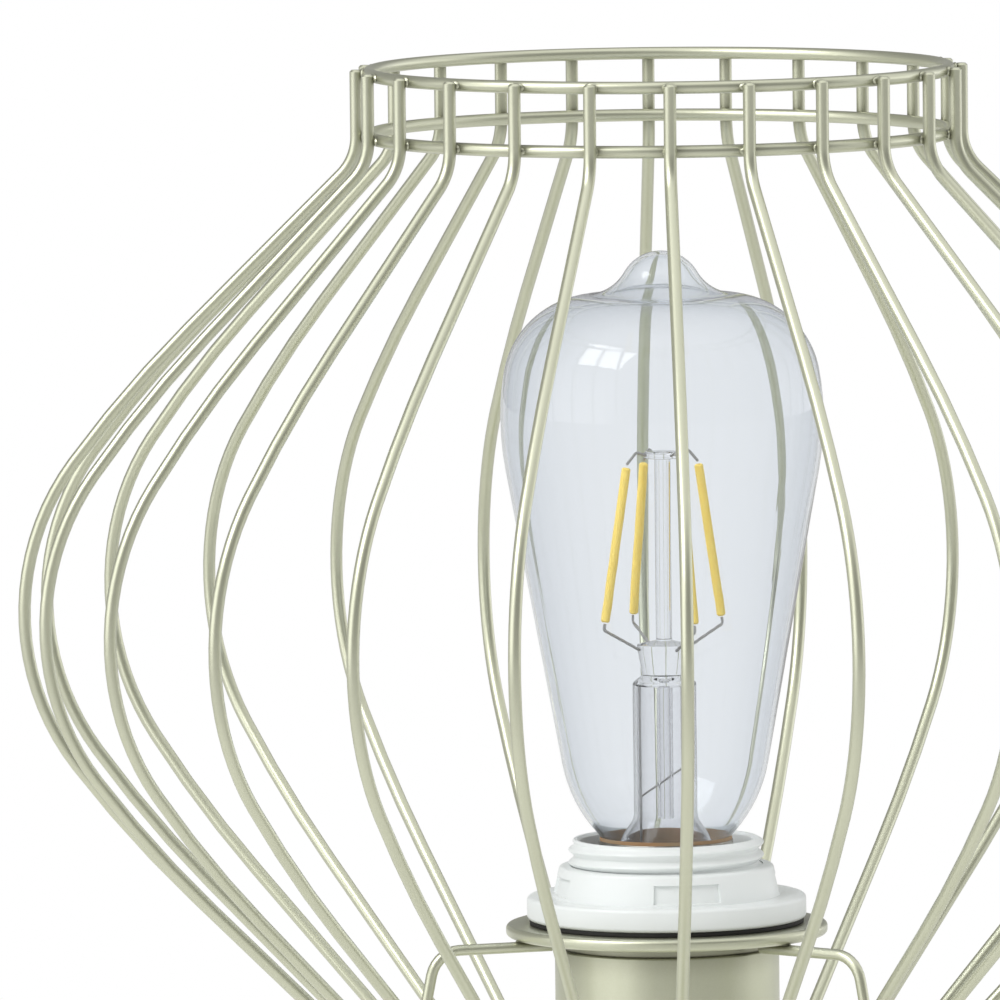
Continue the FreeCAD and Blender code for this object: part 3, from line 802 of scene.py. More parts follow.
class BulbSizes(bpy.types.PropertyGroup):
    """Sizes of the bulb and the screw shell that holds it."""
    wall: length("Glass wall", "Thickness of the glass", 0.8)
    neck_radius: length("Neck radius", "Outer radius of the glass neck", 12.4)
    neck_depth: length("Neck depth", "Straight glass neck inside the cap", 1.7)
    neck_flare: length("Neck flare", "Radius of the flare over the neck", 5.0)
    neck_turn: angle("Neck turn", "Turn of the flare over the neck", 42.0)
    heel_radius: length("Heel radius", "Radius of the heel over the flare", 28.0)
    cone_angle: angle("Cone angle", "Slope of the cone", 10.31)
    waist_radius: length("Waist radius", "Arc from the cone to the widest", 60.0)
    belly_radius: length("Upper belly", "Arc over the widest", 50.0)
    belly_turn: angle("Upper belly turn", "Turn of the arc over the widest", 10.4)
    shoulder_radius: length("Shoulder radius", "Arc of the shoulder", 18.4)
    crest_angle: angle("Crest angle", "Turn where the shoulder meets the pip", 86.0)
    pip_flare: length("Pip flare", "Arc at the foot of the pip", 9.0)
    pip_angle: angle("Pip angle", "Slope at the pip's foot from upright", 30.0)
    stem_radius: length("Stem radius", "Outer radius of the glass stem", 6.3)
    stem_wall: length("Stem wall", "Wall of the glass stem", 0.8)
    flare_radius: length("Stem flare", "Radius of the stem's flared foot", 11.2)
    flare_height: length("Flare height", "Height of the stem's flare", 7.0)
    stem_height: length("Stem height", "Stem from its foot to the press", 34.0)
    press_radius: length("Press radius", "Radius of the pinched press", 5.3)
    press_waist: length("Press waist", "Radius below the press", 4.4)
    press_height: length("Press height", "Height of the press", 7.6)
    exhaust_radius: length("Exhaust radius", "Radius of the exhaust tube", 1.6)
    exhaust_wall: length("Exhaust wall", "Wall of the exhaust tube", 0.5)
    column_radius: length("Column radius", "Radius of the glass column", 1.6)
    column_height: length("Column height", "Column from the press to the button", 36.9)
    button_radius: length("Button radius", "Radius of the button", 3.6)
    button_height: length("Button height", "Height of the button", 1.4)
    filament_count: number("Filaments", "Filaments around the column", 4)
    filament_angle: angle("First filament", "Angle of the first filament from the front", 27.5)
    filament_radius: length("Filament radius", "Radius of a filament", 0.9)
    filament_top: length("Filament top", "Upper end of a filament from the axis", 8.05)
    filament_foot: length("Filament foot", "Lower end of a filament from the axis", 13.0)
    filament_rise: length("Filament rise", "Height of a filament", 30.4)
    filament_drop: length("Filament drop", "Filament tops below the button", 1.5)
    wire_radius: length("Support radius", "Radius of the support wires", 0.3)
    wire_hump: length("Support hump", "Rise of a support wire's bend", 1.4)
    prong_drop: length("Prong drop", "Knee of a lead wire below a filament", 1.3)
    cap_radius: length("Cap radius", "Middle of the cap's thread", 12.6)
    cap_swing: length("Cap swing", "Half the depth of the cap's thread", 0.5)
    cap_pitch: length("Cap pitch", "Rise of the cap's thread in a turn", 3.629)
    cap_wall: length("Cap wall", "Sheet thickness of the cap", 0.4)
    cap_floor: length("Cap floor", "Thickness of the cap's floor", 0.5)
    cap_eye: length("Cap eye", "Hole in the cap's floor", 9.6)
    cement_gap: length("Cement gap", "Gap between the cement and what it holds", 0.04)
    cement_rise: length("Cement rise", "Cement over the cap's rim, against the glass", 1.0)
    skirt_length: length("Skirt length", "Plain skirt over the cap's thread", 4.3)
    skirt_radius: length("Skirt radius", "Radius of the cap's skirt", 13.3)
    slip: length("Slip", "Clearance between the cap and the screw shell", 0.3)
    shell_wall: length("Shell wall", "Sheet thickness of the screw shell", 0.45)
    shell_eye: length("Shell eye", "Hole in the screw shell's floor", 9.0)


class LampColours(bpy.types.PropertyGroup):
    """Colours of the finishes that show most."""
    lacquer: tint("Lacquer", "Champagne lacquer", 206, 208, 185)
    lacquer_shade: tint("Lacquer shade", "Second tone of the lacquer", 198, 200, 176)
    lacquer_flake: tint("Lacquer flake", "Metal flake in the lacquer", 226, 227, 212)
    # Painted shade: the colour the lacquer turns to in tight corners.
    lacquer_corner_shade: tint("Lacquer corner shade", "Painted shade in the lacquer's tight corners", 72, 68, 46)
    plastic: tint("Plastic", "White moulded plastic", 236, 240, 240)
    plastic_shade: tint("Plastic shade", "Second tone of the plastic", 229, 233, 232)
    glass: tint("Glass", "Tint of the glass", 243, 245, 247)
    glass_shade: tint("Glass shade", "Second tint of the glass", 239, 242, 245)
    glass_edge_shade: tint("Glass edge shade", "Painted shade of the glass seen edge on", 196, 202, 210)
    stem_edge_shade: tint("Stem edge shade", "Painted shade of the glass stem seen edge on", 70, 71, 75)
    stem_glass: tint("Stem glass", "Tint of the glass stem", 250, 250, 251)
    phosphor: tint("Phosphor", "Filament coating", 255, 231, 128)
    phosphor_shade: tint("Phosphor shade", "Second tone of the coating", 255, 218, 102)


class StageSizes(bpy.types.PropertyGroup):
    """Studio around the lamp."""
    camera_distance: length("Camera distance", "Camera in front of the axis", 3000.0)
    camera_height: length("Camera height", "Camera above the table", 559.3)
    aim_side: length("Aim side", "Aim point to the left of the axis", 32.2)
    aim_height: length("Aim height", "Aim point above the table", 293.9)
    roll: angle("Roll", "Turn of the camera about its view", -0.6)
    lens: bpy.props.FloatProperty(
        name="Lens", description="Focal length in millimetres", default=548.0, subtype="DISTANCE_CAMERA")
    floor_radius: length("Floor radius", "Radius of the pale floor", 6000.0)
    clear_start: length("Clear start", "Where the floor starts to fade to white", 350.0)
    clear_end: length("Clear end", "Where the floor is all white", 900.0)
    floor_tone: tint("Floor", "Pale floor", 238, 238, 236)
    floor_mirrored: strength("Floor mirrored", "Brightness of the far floor in polished surfaces", 0.75)
    ambient: strength("Ambient", "Light from the room on matt surfaces", 0.86)
    dim_side: bpy.props.FloatVectorProperty(
        name="Dim ends", description="Line between the room's dim ends", default=(0.5, -1.0, -0.2),
        subtype="DIRECTION")
    room_tone: strength("Room tone", "Brightness of the white room in polished surfaces", 2.2)
    dim_tone: strength("Dim tone", "Brightness of the dim ends in polished surfaces", 0.34)
    side_fall: strength("Side fall", "How much dimmer the room's right side is than the rest", 0.25, max=1.0)
    ceiling_share: strength("Ceiling share", "Brightness of the ceiling against the walls", 0.55, max=1.0)
    dim_start: angle("Dim start", "Half angle of the darkest part of a dim end", 40.0)
    dim_end: angle("Dim end", "Half angle of a whole dim end", 78.0)
    key_power: strength("Key light", "Large soft light at the upper left", 40.0, subtype="POWER")


# Operators

CAGE_RINGS = ("cage_top_ring", "cage_collar_ring", "cage_bottom_ring")


def ring_line(node):
    """Wire radius of a round wire ring, and its centre line as (radius, height)."""
    girth = (head(node) - foot(node)) / 2
    return girth, Vector((reach(node) - girth, middle(node)))


def wire_path(cage):
    """Centre line of one cage wire as (radius, height) points, from its lower end."""
    collar = reach("cage_top_ring") + cage.wire_radius + cage.weld_gap
    bend_out = cage.bend_radius * (1 - math.cos(cage.flank_angle))
    arc_out = cage.flank_arc * (math.cos(cage.crown_angle) - math.cos(cage.flank_angle))
    crown_out = cage.crown_arc * (1 - math.cos(cage.crown_angle))
    straight_out = cage.belly_radius - collar - bend_out - arc_out - crown_out
    straight = straight_out / math.sin(cage.flank_angle)
    ease = cage.flank_angle - cage.crown_angle
    return traced((collar, foot("cage_wire_01")), math.pi / 2, [
        (cage.tail_length, 0),
        (cage.bend_radius, -cage.flank_angle),
        (straight, 0),
        (cage.flank_arc, ease),
        (cage.crown_arc, 2 * cage.crown_angle),
        (cage.flank_arc, ease),
        (straight, 0),
        (cage.bend_radius, -cage.flank_angle),
        (cage.collar_rise, 0)])


class LAMP_OT_cage_wires(bpy.types.Operator):
    """Bowed wires of the cage."""
    bl_idname = "lamp.cage_wires"
    bl_label = "Cage Wires"

    def execute(self, context):
        cage = context.scene.lamp_cage
        path = wire_path(cage)
        for index, turn in enumerate(around(cage.first_angle, cage.wire_count)):
            shade_wire("cage_wire_%02d" % (index + 1), "_bowed", facing(path, turn), cage.wire_radius)
        return {"FINISHED"}


class LAMP_OT_cage_rings(bpy.types.Operator):
    """Three round wire rings inside the cage wires."""
    bl_idname = "lamp.cage_rings"
    bl_label = "Cage Rings"

    def execute(self, context):
        for node in CAGE_RINGS:
            girth, centre = ring_line(node)
            outline = [
                centre + girth * Vector((math.cos(turn), math.sin(turn))) for turn in around(0, WIRE_SIDES)]
            turned_piece(node, outline, "shade", "champagne_paint", around(0, 2 * ROUND_COLUMNS))
        return {"FINISHED"}


class LAMP_OT_cage_welds(bpy.types.Operator):
    """Lacquered weld beads where the wires cross the rings."""
    bl_idname = "lamp.cage_welds"
    bl_label = "Cage Welds"

    def execute(self, context):
        cage = context.scene.lamp_cage
        for node in CAGE_RINGS:
            mesh = bmesh.new()
            for index, turn in enumerate(around(cage.first_angle, cage.wire_count)):
                out = outward(turn)
                size = 1 + WELD_SPREAD * math.sin(index * WELD_WAVE)
                centre = out * (reach(node) + cage.weld_gap / 2) + UP * middle(node)
                half = (cage.bead_depth, cage.bead_length * size, cage.bead_height / size)
                blob(mesh, centre, (out, UP.cross(out), UP), half)
            add_piece(node + "_welds", mesh, "shade", "champagne_paint")
        return {"FINISHED"}


def build_fitter_ring(sizes):
    """Flat ring under the clamping ring."""
    outline = plate("fitter_ring", sizes.hole_radius, 0, sizes.edge_bend)
    turned_piece("fitter_ring", outline, "shade", "champagne_paint")


def build_fitter_arms(sizes, cage):
    """Bent arms from under the fitter ring to the lowest cage ring, and their welds."""
    bottom = foot("fitter_ring")
    radius = reach("fitter_ring")
    level = bottom - sizes.arm_radius - cage.weld_gap
    corner = Vector((sizes.arm_corner, level))
    girth, hook = ring_line("cage_bottom_ring")
    span = hook - corner
    clear = sizes.arm_radius + girth + cage.weld_gap
    course = math.atan2(span.y, span.x) - math.asin(clear / span.length)
    way = Vector((math.cos(course), math.sin(course)))
    meeting = corner + way * math.sqrt(span.length ** 2 - clear ** 2)
    end = meeting + way * sizes.arm_tail
    touch = meeting + (hook - meeting) * (sizes.arm_radius / clear)
    path = rounded([(sizes.arm_start, level, 0), (*corner, sizes.arm_bend), (*end, 0)], closed=False)
    seam = (sizes.arm_start + radius) / 2
    seam_half = ((radius - sizes.arm_start) / 2, sizes.arm_radius, cage.bead_depth)
    touch_half = (cage.bead_length, cage.bead_length, cage.bead_depth)
    welds = bmesh.new()
    for index, turn in enumerate(around(sizes.arm_angle, sizes.arm_count)):
        shade_wire("fitter_arm_%d" % (index + 1), "_bent", facing(path, turn), sizes.arm_radius)
        out = outward(turn)
        across = UP.cross(out)
        lie = out * way.x + UP * way.y
        blob(welds, out * seam + UP * bottom, (out, across, UP), seam_half)
        blob(welds, out * touch.x + UP * touch.y, (lie, across, lie.cross(across)), touch_half)
    add_piece("fitter_welds", welds, "shade", "champagne_paint")


class LAMP_OT_fitter(bpy.types.Operator):
    """Flat ring under the clamping ring, its bent arms and their welds."""
    bl_idname = "lamp.fitter"
    bl_label = "Shade Fitter"

    def execute(self, context):
        sizes = context.scene.lamp_fitter
        build_fitter_ring(sizes)
        build_fitter_arms(sizes, context.scene.lamp_cage)
        return {"FINISHED"}


class LAMP_OT_cup(bpy.types.Operator):
    """Spun cup with a stepped, notched neck."""
    bl_idname = "lamp.cup"
    bl_label = "Cup"

    def execute(self, context):
        sizes = context.scene.lamp_holder
        radius = reach("cup")
        bottom = foot("cup")
        top = head("cup")
        rim = top - sizes.neck_height
        bore = radius - sizes.cup_wall
        neck_bore = sizes.neck_radius - sizes.cup_wall
        outline = rounded([
            (sizes.rod_hole, bottom, 0),
            (radius, bottom, sizes.cup_corner),
            (radius, rim, sizes.cup_lip),
            (sizes.neck_radius, rim, 0),
            (sizes.neck_radius, top, 0),
            (neck_bore, top, 0),
            (neck_bore, rim - sizes.cup_wall, 0),
            (bore, rim - sizes.cup_wall, 0),
            (bore, bottom + sizes.cup_wall, sizes.cup_corner - sizes.cup_wall),
            (sizes.rod_hole, bottom + sizes.cup_wall, 0)])
        outline_top = max(point[1] for point in outline)
        centres = around(FRONT + sizes.notch_angle, sizes.notch_count)
        span = sizes.notch_width / sizes.neck_radius

        def notched(point_radius, height, turn):
            """Shape with the notches cut into the neck's rim."""
            if height == outline_top and in_cut(turn, centres, span):
                height -= sizes.notch_depth
            return point_radius, height

        turned_piece("cup", outline, "lamp", "champagne_paint", columns_with_cuts(centres, span), notched)
        return {"FINISHED"}


def build_sleeve(sizes):
    """White plastic sleeve with its outer thread."""
    bottom = foot("holder_sleeve")
    rim = head("holder_sleeve")
    seat = foot("shade_ring")
    start = seat - sizes.thread_start
    body_radius = reach("holder_base")
    outline = rounded([
        (sizes.bore_radius, bottom, 0),
        (body_radius, bottom, 0),
        (body_radius, start, 0),
        *upright_run(sizes.thread_radius, start, rim - sizes.rim_chamfer, sizes.thread_pitch / THREAD_ROWS),
        (sizes.thread_radius - sizes.thread_swing, rim, 0),
        (sizes.bore_radius + sizes.rim_chamfer, rim, 0),
        (sizes.bore_radius, rim - sizes.rim_chamfer, 0)])
    thread = thread_turn([sizes.thread_radius], sizes.thread_swing, sizes.thread_pitch, seat)
    turned_piece("holder_sleeve", outline, "lamp", "white_plastic", shape=thread)


def build_shell(bulb):
    """Brass screw shell that holds the bulb's cap."""
    base = foot("screw_shell")
    top = head("screw_shell")
    inner = bulb.cap_radius + bulb.slip
    outer = inner + bulb.shell_wall
    step = bulb.cap_pitch / CAP_ROWS
    outline = rounded([
        (bulb.shell_eye, base, 0),
        *upright_run(outer, base, top, step),
        *upright_run(inner, top, base + bulb.shell_wall, step),
        (bulb.shell_eye, base + bulb.shell_wall, 0)])
    thread = thread_turn([inner, outer], bulb.cap_swing, bulb.cap_pitch, base)
    turned_piece("screw_shell", outline, "lamp", "shell_brass", shape=thread)


class LAMP_OT_lampholder(bpy.types.Operator):
    """Threaded plastic sleeve and brass screw shell of the lampholder."""
    bl_idname = "lamp.lampholder"
    bl_label = "Lampholder"

    def execute(self, context):
        build_sleeve(context.scene.lamp_holder)
        build_shell(context.scene.lamp_bulb)
        return {"FINISHED"}


def build_clamping_ring(sizes):
    """White ring with an inner thread, a flange and grip flats on its collar."""
    seat = foot("shade_ring")
    top = head("shade_ring")
    flange = reach("shade_ring")
    flange_top = seat + sizes.flange_height
    sill = flange_top + sizes.grip_sill
    brow = top - sizes.grip_head
    slope = (sizes.collar_top - sizes.collar_foot) / (top - flange_top)
    edge = sizes.grip_depth * GRIP_EDGE
    collar = [
        (sizes.collar_foot + slope * (level - flange_top), level, 0)
        for level in (sill - edge, sill, brow, brow + edge)]
    inner = sizes.thread_radius + RING_SLIP
    outline = rounded([
        (inner, seat, 0),
        (flange, seat, sizes.flange_bend),
        (flange, flange_top, sizes.flange_bend),
        (sizes.collar_foot, flange_top, 0),
        *collar,
        (sizes.collar_top, top, sizes.flange_bend),
        *upright_run(inner, top, seat, sizes.thread_pitch / THREAD_ROWS)[:-1]])
    centres = around(FRONT + sizes.grip_angle, sizes.grip_count)
    thread = thread_turn([inner], sizes.thread_swing, sizes.thread_pitch, seat)

    def gripped(radius, height, turn):
        """Shape with the flats cut into the collar and the thread in the bore."""
        on_panel = radius > inner + sizes.thread_swing and sill - edge / 2 < height < brow + edge / 2
        if on_panel and in_cut(turn, centres, sizes.grip_span):
            return radius - sizes.grip_depth, height
        return thread(radius, height, turn)

    columns = columns_with_cuts(centres, sizes.grip_span)
    turned_piece("shade_ring", outline, "shade_ring", "white_plastic", columns, gripped)


def build_washer(hole_radius):
    """Thin black washer under the clamping ring."""
    soft = (head("clamp_washer") - foot("clamp_washer")) / 4
    outline = plate("clamp_washer", hole_radius, soft, soft)
    turned_piece("clamp_washer", outline, "clamp_washer", "black_fibre")


class LAMP_OT_clamping_ring(bpy.types.Operator):
    """White threaded clamping ring with grip flats, and the washer under it."""
    bl_idname = "lamp.clamping_ring"
    bl_label = "Clamping Ring"

    def execute(self, context):
        build_clamping_ring(context.scene.lamp_holder)
        build_washer(context.scene.lamp_fitter.hole_radius)
        return {"FINISHED"}


def glass_outline(bulb, inset):
    """Points of the glass from the neck to the pip, moved in by an inset."""
    neck_out = bulb.neck_flare * (1 - math.cos(bulb.neck_turn))
    heel_out = bulb.heel_radius * (math.cos(bulb.cone_angle) - math.cos(bulb.neck_turn))
    waist_out = bulb.waist_radius * (1 - math.cos(bulb.cone_angle))
    widest = reach("bulb_glass")
    cone_out = widest - bulb.neck_radius - neck_out - heel_out - waist_out
    pip_base = widest - bulb.belly_radius * (1 - math.cos(bulb.belly_turn))
    pip_base -= bulb.shoulder_radius * (math.cos(bulb.belly_turn) - math.cos(bulb.crest_angle))
    pip_base -= bulb.pip_flare * (math.cos(bulb.pip_angle) - math.cos(bulb.crest_angle))
    points = traced((bulb.neck_radius - inset, foot("bulb_glass")), math.pi / 2, [
        (bulb.neck_depth, 0),
        (bulb.neck_flare + inset, -bulb.neck_turn),
        (bulb.heel_radius - inset, bulb.neck_turn - bulb.cone_angle),
        (cone_out / math.sin(bulb.cone_angle), 0),
        (bulb.waist_radius - inset, bulb.cone_angle),
        (bulb.belly_radius - inset, bulb.belly_turn),
        (bulb.shoulder_radius - inset, bulb.crest_angle - bulb.belly_turn),
        (bulb.pip_flare + inset, bulb.pip_angle - bulb.crest_angle),
        (pip_base / math.cos(bulb.pip_angle) - inset, math.pi / 2 - bulb.pip_angle)])
    points[-1].x = 0
    return points


class LAMP_OT_bulb_glass(bpy.types.Operator):
    """Clear glass envelope with its pip."""
    bl_idname = "lamp.bulb_glass"
    bl_label = "Bulb Glass"

    def execute(self, context):
        bulb = context.scene.lamp_bulb
        outline = glass_outline(bulb, 0) + list(reversed(glass_outline(bulb, bulb.wall)))
        turned_piece("bulb_glass", outline, "bulb", "clear_glass")
        return {"FINISHED"}


def mount_levels(bulb):
    """Levels of the glass stem's parts, from its foot up."""
    base = foot("bulb_stem")
    press_foot = base + bulb.stem_height
    press_top = press_foot + bulb.press_height
    return SimpleNamespace(
        base=base, tube_foot=base + bulb.flare_height, press_foot=press_foot, press_top=press_top,
        column_top=press_top + bulb.column_height)


def build_stem(bulb, level):
    """Glass stem with its flare, exhaust tube, press, column and button."""
    button_top = level.column_top + bulb.button_height
    button_bend = bulb.button_height / 3
    flare_bend = bulb.flare_height / 2
    bore = bulb.stem_radius - bulb.stem_wall
    exhaust_bore = bulb.exhaust_radius - bulb.exhaust_wall
    exhaust_top = level.press_foot - bulb.exhaust_wall
    soft = bulb.stem_wall
    turned_piece("bulb_stem", rounded([
        (bulb.flare_radius, level.base, 0),
        (bulb.stem_radius, level.tube_foot, flare_bend),
        (bulb.stem_radius, level.press_foot, soft),
        (bulb.press_waist, level.press_foot + bulb.press_height * WAIST_SHARE, soft / 2),
        (bulb.press_radius, level.press_top - soft, soft / 2),
        (bulb.press_radius, level.press_top, soft / 4),
        (bulb.column_radius, level.press_top + soft, soft / 2),
        (bulb.column_radius, level.column_top, 0),
        (bulb.button_radius, level.column_top, button_bend),
        (bulb.button_radius, button_top, button_bend),
        (0, button_top, 0),
        (0, level.press_foot, 0),
        (exhaust_bore, level.press_foot, 0),
        (exhaust_bore, level.tube_foot, 0),
        (bulb.exhaust_radius, level.tube_foot, 0),
        (bulb.exhaust_radius, exhaust_top, 0),
        (bore, exhaust_top, 0),
        (bore, level.tube_foot, flare_bend),
        (bulb.flare_radius - bulb.stem_wall, level.base, 0)]), "bulb", "clear_glass", look="stem_glass")


def build_filaments(bulb, level):
    """Coated filaments around the column, with a wire from above and one from below to each."""
    top = Vector((bulb.filament_top, level.column_top - bulb.filament_drop))
    low = Vector((bulb.filament_foot, top.y - bulb.filament_rise))
    along = (top - low).normalized()
    hook = rounded([
        (bulb.button_radius, level.column_top + bulb.button_height / 2, 0),
        ((bulb.button_radius + bulb.filament_top) / 2, level.column_top + bulb.wire_hump, bulb.wire_hump / 2),
        (*(top + along * bulb.wire_radius * 2), 0)], closed=False)
    prong = rounded([
        (bulb.press_radius, level.press_top - bulb.press_height * PRONG_SHARE, 0),
        (*(low - along * (bulb.wire_radius + bulb.prong_drop)), bulb.wire_hump / 2),
        (*(low - along * bulb.wire_radius), 0)], closed=False)
    sticks = bmesh.new()
    wires = bmesh.new()
    for turn in around(bulb.filament_angle, bulb.filament_count):
        sweep(sticks, facing([low, top], turn), bulb.filament_radius, FILAMENT_SIDES)
        for path in (hook, prong):
            sweep(wires, facing(path, turn), bulb.wire_radius, SUPPORT_SIDES)
    add_piece("led_filaments_coated", sticks, "bulb", "phosphor", "led_filaments")
    add_piece("filament_wires_bent", wires, "bulb", "support_wire", "filament_wires")


def build_leads(bulb, level):
    """Two lead-in wires inside the glass stem, one of which crosses over."""
    inside = bulb.stem_radius - bulb.stem_wall - 2 * bulb.wire_radius
    near = inside * CROSSING_SIDE
    cross_low = level.tube_foot + bulb.flare_height * CROSSING_START
    cross_high = cross_low + bulb.flare_height * CROSSING_RISE
    straight = [(-inside, level.press_foot), (-inside, level.base)]
    crossing = [(near, level.press_foot), (near, cross_high), (-inside, cross_low), (-inside, level.base)]
    leads = bmesh.new()
    for depth, route in ((-2 * bulb.wire_radius, straight), (2 * bulb.wire_radius, crossing)):
        points = [Vector((side, depth, height)) for side, height in route]
        sweep(leads, points, bulb.wire_radius * LEAD_GIRTH, SUPPORT_SIDES)
    add_piece("lead_in_wires", leads, "bulb", "support_wire")


class LAMP_OT_bulb_mount(bpy.types.Operator):
    """Glass stem, filaments and the wires that hold and feed them."""
    bl_idname = "lamp.bulb_mount"
    bl_label = "Bulb Mount"

    def execute(self, context):
        bulb = context.scene.lamp_bulb
        level = mount_levels(bulb)
        build_stem(bulb, level)
        build_filaments(bulb, level)
        build_leads(bulb, level)
        return {"FINISHED"}


def build_cap(bulb):
    """Threaded cap with a plain skirt."""
    bottom = foot("bulb_cap")
    top = head("bulb_cap")
    skirt = top - bulb.skirt_length
    skirt_bore = bulb.skirt_radius - bulb.cap_wall
    outer = bulb.cap_radius
    inner = outer - bulb.cap_wall
    step = bulb.cap_pitch / CAP_ROWS
    outline = rounded([
        (bulb.cap_eye, bottom, 0),
        *upright_run(outer, bottom, skirt, step),
        (bulb.skirt_radius, skirt, bulb.cap_wall / 2),
        (bulb.skirt_radius, top, bulb.cap_wall / 3),
        (skirt_bore, top, bulb.cap_wall / 3),
        (skirt_bore, skirt + bulb.cap_wall, 0),
        *upright_run(inner, skirt + bulb.cap_wall, bottom + bulb.cap_floor, step),
        (bulb.cap_eye, bottom + bulb.cap_floor, 0)])
    thread = thread_turn([outer, inner], bulb.cap_swing, bulb.cap_pitch, foot("screw_shell"))
    turned_piece("bulb_cap", outline, "bulb", "cap_nickel", shape=thread)


def build_cement(bulb):
    """Cement seam between the glass neck and the cap's skirt."""
    top = head("bulb_cap")
    seam_top = top + bulb.cement_rise
    cap_side = bulb.skirt_radius - bulb.cap_wall - bulb.cement_gap
    seam = [(point.x + bulb.cement_gap, point.y) for point in glass_outline(bulb, 0) if point.y < seam_top]
    seam += [
        (bulb.skirt_radius - bulb.cap_wall / 2, top + bulb.cement_gap),
        (cap_side, top - bulb.cement_gap),
        (cap_side, foot("bulb_glass"))]
    cement = bmesh.new()
    revolve(cement, seam)
    add_piece("cap_cement_seam", cement, "bulb", "steatite", look="cap_cement")


class LAMP_OT_bulb_cap(bpy.types.Operator):
    """Threaded cap of the bulb and the cement that holds its glass."""
    bl_idname = "lamp.bulb_cap"
    bl_label = "Bulb Cap"

    def execute(self, context):
        bulb = context.scene.lamp_bulb
        build_cap(bulb)
        build_cement(bulb)
        return {"FINISHED"}


class LAMP_OT_stand(bpy.types.Operator):
    """Stem tube with softened ends."""
    bl_idname = "lamp.stand"
    bl_label = "Stand"

    def execute(self, context):
        wall = context.scene.lamp_holder.cup_wall
        outline = plate("stem_tube", reach("stem_tube") - wall, wall / 4, wall / 4)
        turned_piece("stem_tube", outline, "lamp", "champagne_paint")
        return {"FINISHED"}


KEPT_NODES = {
    "base_cover": "champagne_paint",
    "base_weight": "cast_iron",
    "base_pad": "felt_pad",
    "cord_gland": "pale_grommet",
    "terminal_block": "terminal_plastic",
    "base_washer": "zinc_steel",
    "base_nut": "zinc_steel",
    "through_rod": "zinc_steel",
    "cup_nut": "zinc_steel",
    "holder_base": "white_plastic",
    "holder_insert": "steatite",
    "centre_contact": "shell_brass",
    "terminal_screws": "zinc_steel",
    "inner_leads": "lead_sleeve",
    "cap_insulator": "black_glass",
    "tip_contact": "cap_nickel",
    "driver_board": "driver_board",
}


class LAMP_OT_kept_nodes(bpy.types.Operator):
    """Finishes of the pieces that keep their own shape."""
    bl_idname = "lamp.kept_nodes"
    bl_label = "Kept Pieces"

    def execute(self, context):
        for node, slot in KEPT_NODES.items():
            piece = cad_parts[node]
            piece.data.materials.clear()
            piece.data.materials.append(finish(slot))
        return {"FINISHED"}


def background_seen(tree):
    """1 for rays that see the background directly or through glass, and a socket for mirrored rays."""
    rays = add_node(tree, "ShaderNodeLightPath").outputs
    seen = add_math(tree, "ADD", rays["Is Camera Ray"], rays["Is Transmission Ray"])
    return add_math(tree, "MINIMUM", seen, 1.0), rays["Is Glossy Ray"]


def floor_finish(stage):
    """Pale floor that keeps shadows near the lamp and fades to white away from it."""
    material, tree, shader = new_finish("studio_floor")
    lay_surface(
        tree, shader, stage.floor_tone, stage.floor_tone, patches=8, grain=300, roughness=(0.7, 0.9))
    span = add_node(tree, "ShaderNodeVectorMath", operation="LENGTH")
    tree.links.new(object_place(tree), span.inputs[0])
    fade = add_ramp(tree, span.outputs["Value"], stage.clear_start, stage.clear_end, 0.0, 1.0)
    direct, mirrored = background_seen(tree)
    white = add_node(tree, "ShaderNodeEmission")
    tree.links.new(add_mix(tree, "Float", direct, stage.floor_mirrored, 1.0), white.inputs["Strength"])
    seen = add_math(tree, "MAXIMUM", direct, mirrored)
    blend_surfaces(tree, add_math(tree, "MULTIPLY", fade, seen), shader.outputs[0], white.outputs[0])
    return material


def studio_world(stage):
    """White room whose ends are dimmer than its sides, as polished surfaces show it."""
    world = bpy.data.worlds.new("studio_world")
    world.use_nodes = True
    tree = world.node_tree
    ray = add_node(tree, "ShaderNodeTexCoord").outputs["Generated"]
    toward = add_node(tree, "ShaderNodeVectorMath", operation="DOT_PRODUCT")
    tree.links.new(ray, toward.inputs[0])
    toward.inputs[1].default_value = Vector(stage.dim_side).normalized()
    endward = add_math(tree, "ABSOLUTE", toward.outputs["Value"], 0.0)
    room = add_ramp(
        tree, endward, math.cos(stage.dim_end), math.cos(stage.dim_start), stage.room_tone, stage.dim_tone)
    across = add_node(tree, "ShaderNodeSeparateXYZ")
    tree.links.new(ray, across.inputs[0])
    rightward = add_math(tree, "MAXIMUM", across.outputs["X"], 0.0)
    share = add_math(tree, "MULTIPLY", rightward, stage.side_fall)
    walls = add_math(tree, "MULTIPLY", room, add_math(tree, "SUBTRACT", 1.0, share))
    ceiling = add_ramp(tree, across.outputs["Z"], 0.0, CEILING_RISE, 1.0, stage.ceiling_share)
    tone = add_math(tree, "MULTIPLY", walls, ceiling)
    direct, mirrored = background_seen(tree)
    lit = add_mix(tree, "Float", mirrored, stage.ambient, tone)
    glow = tree.nodes["Background"]
    glow.inputs["Color"].default_value = (1, 1, 1, 1)
    tree.links.new(add_mix(tree, "Float", direct, lit, 1.0), glow.inputs["Strength"])
    return world


def build_floor(scene, stage):
    """Round floor just below the base pad."""
    mesh = bmesh.new()
    bmesh.ops.create_circle(
        mesh, cap_ends=True, segments=FLOOR_SEGMENTS, radius=stage.floor_radius,
        matrix=Matrix.Translation((0, 0, -FLOOR_DROP)))
    data = bpy.data.meshes.new("studio_floor")
    mesh.to_mesh(data)
    mesh.free()
    data.materials.append(floor_finish(stage))
    floor = bpy.data.objects.new("studio_floor", data)
    scene.collection.objects.link(floor)


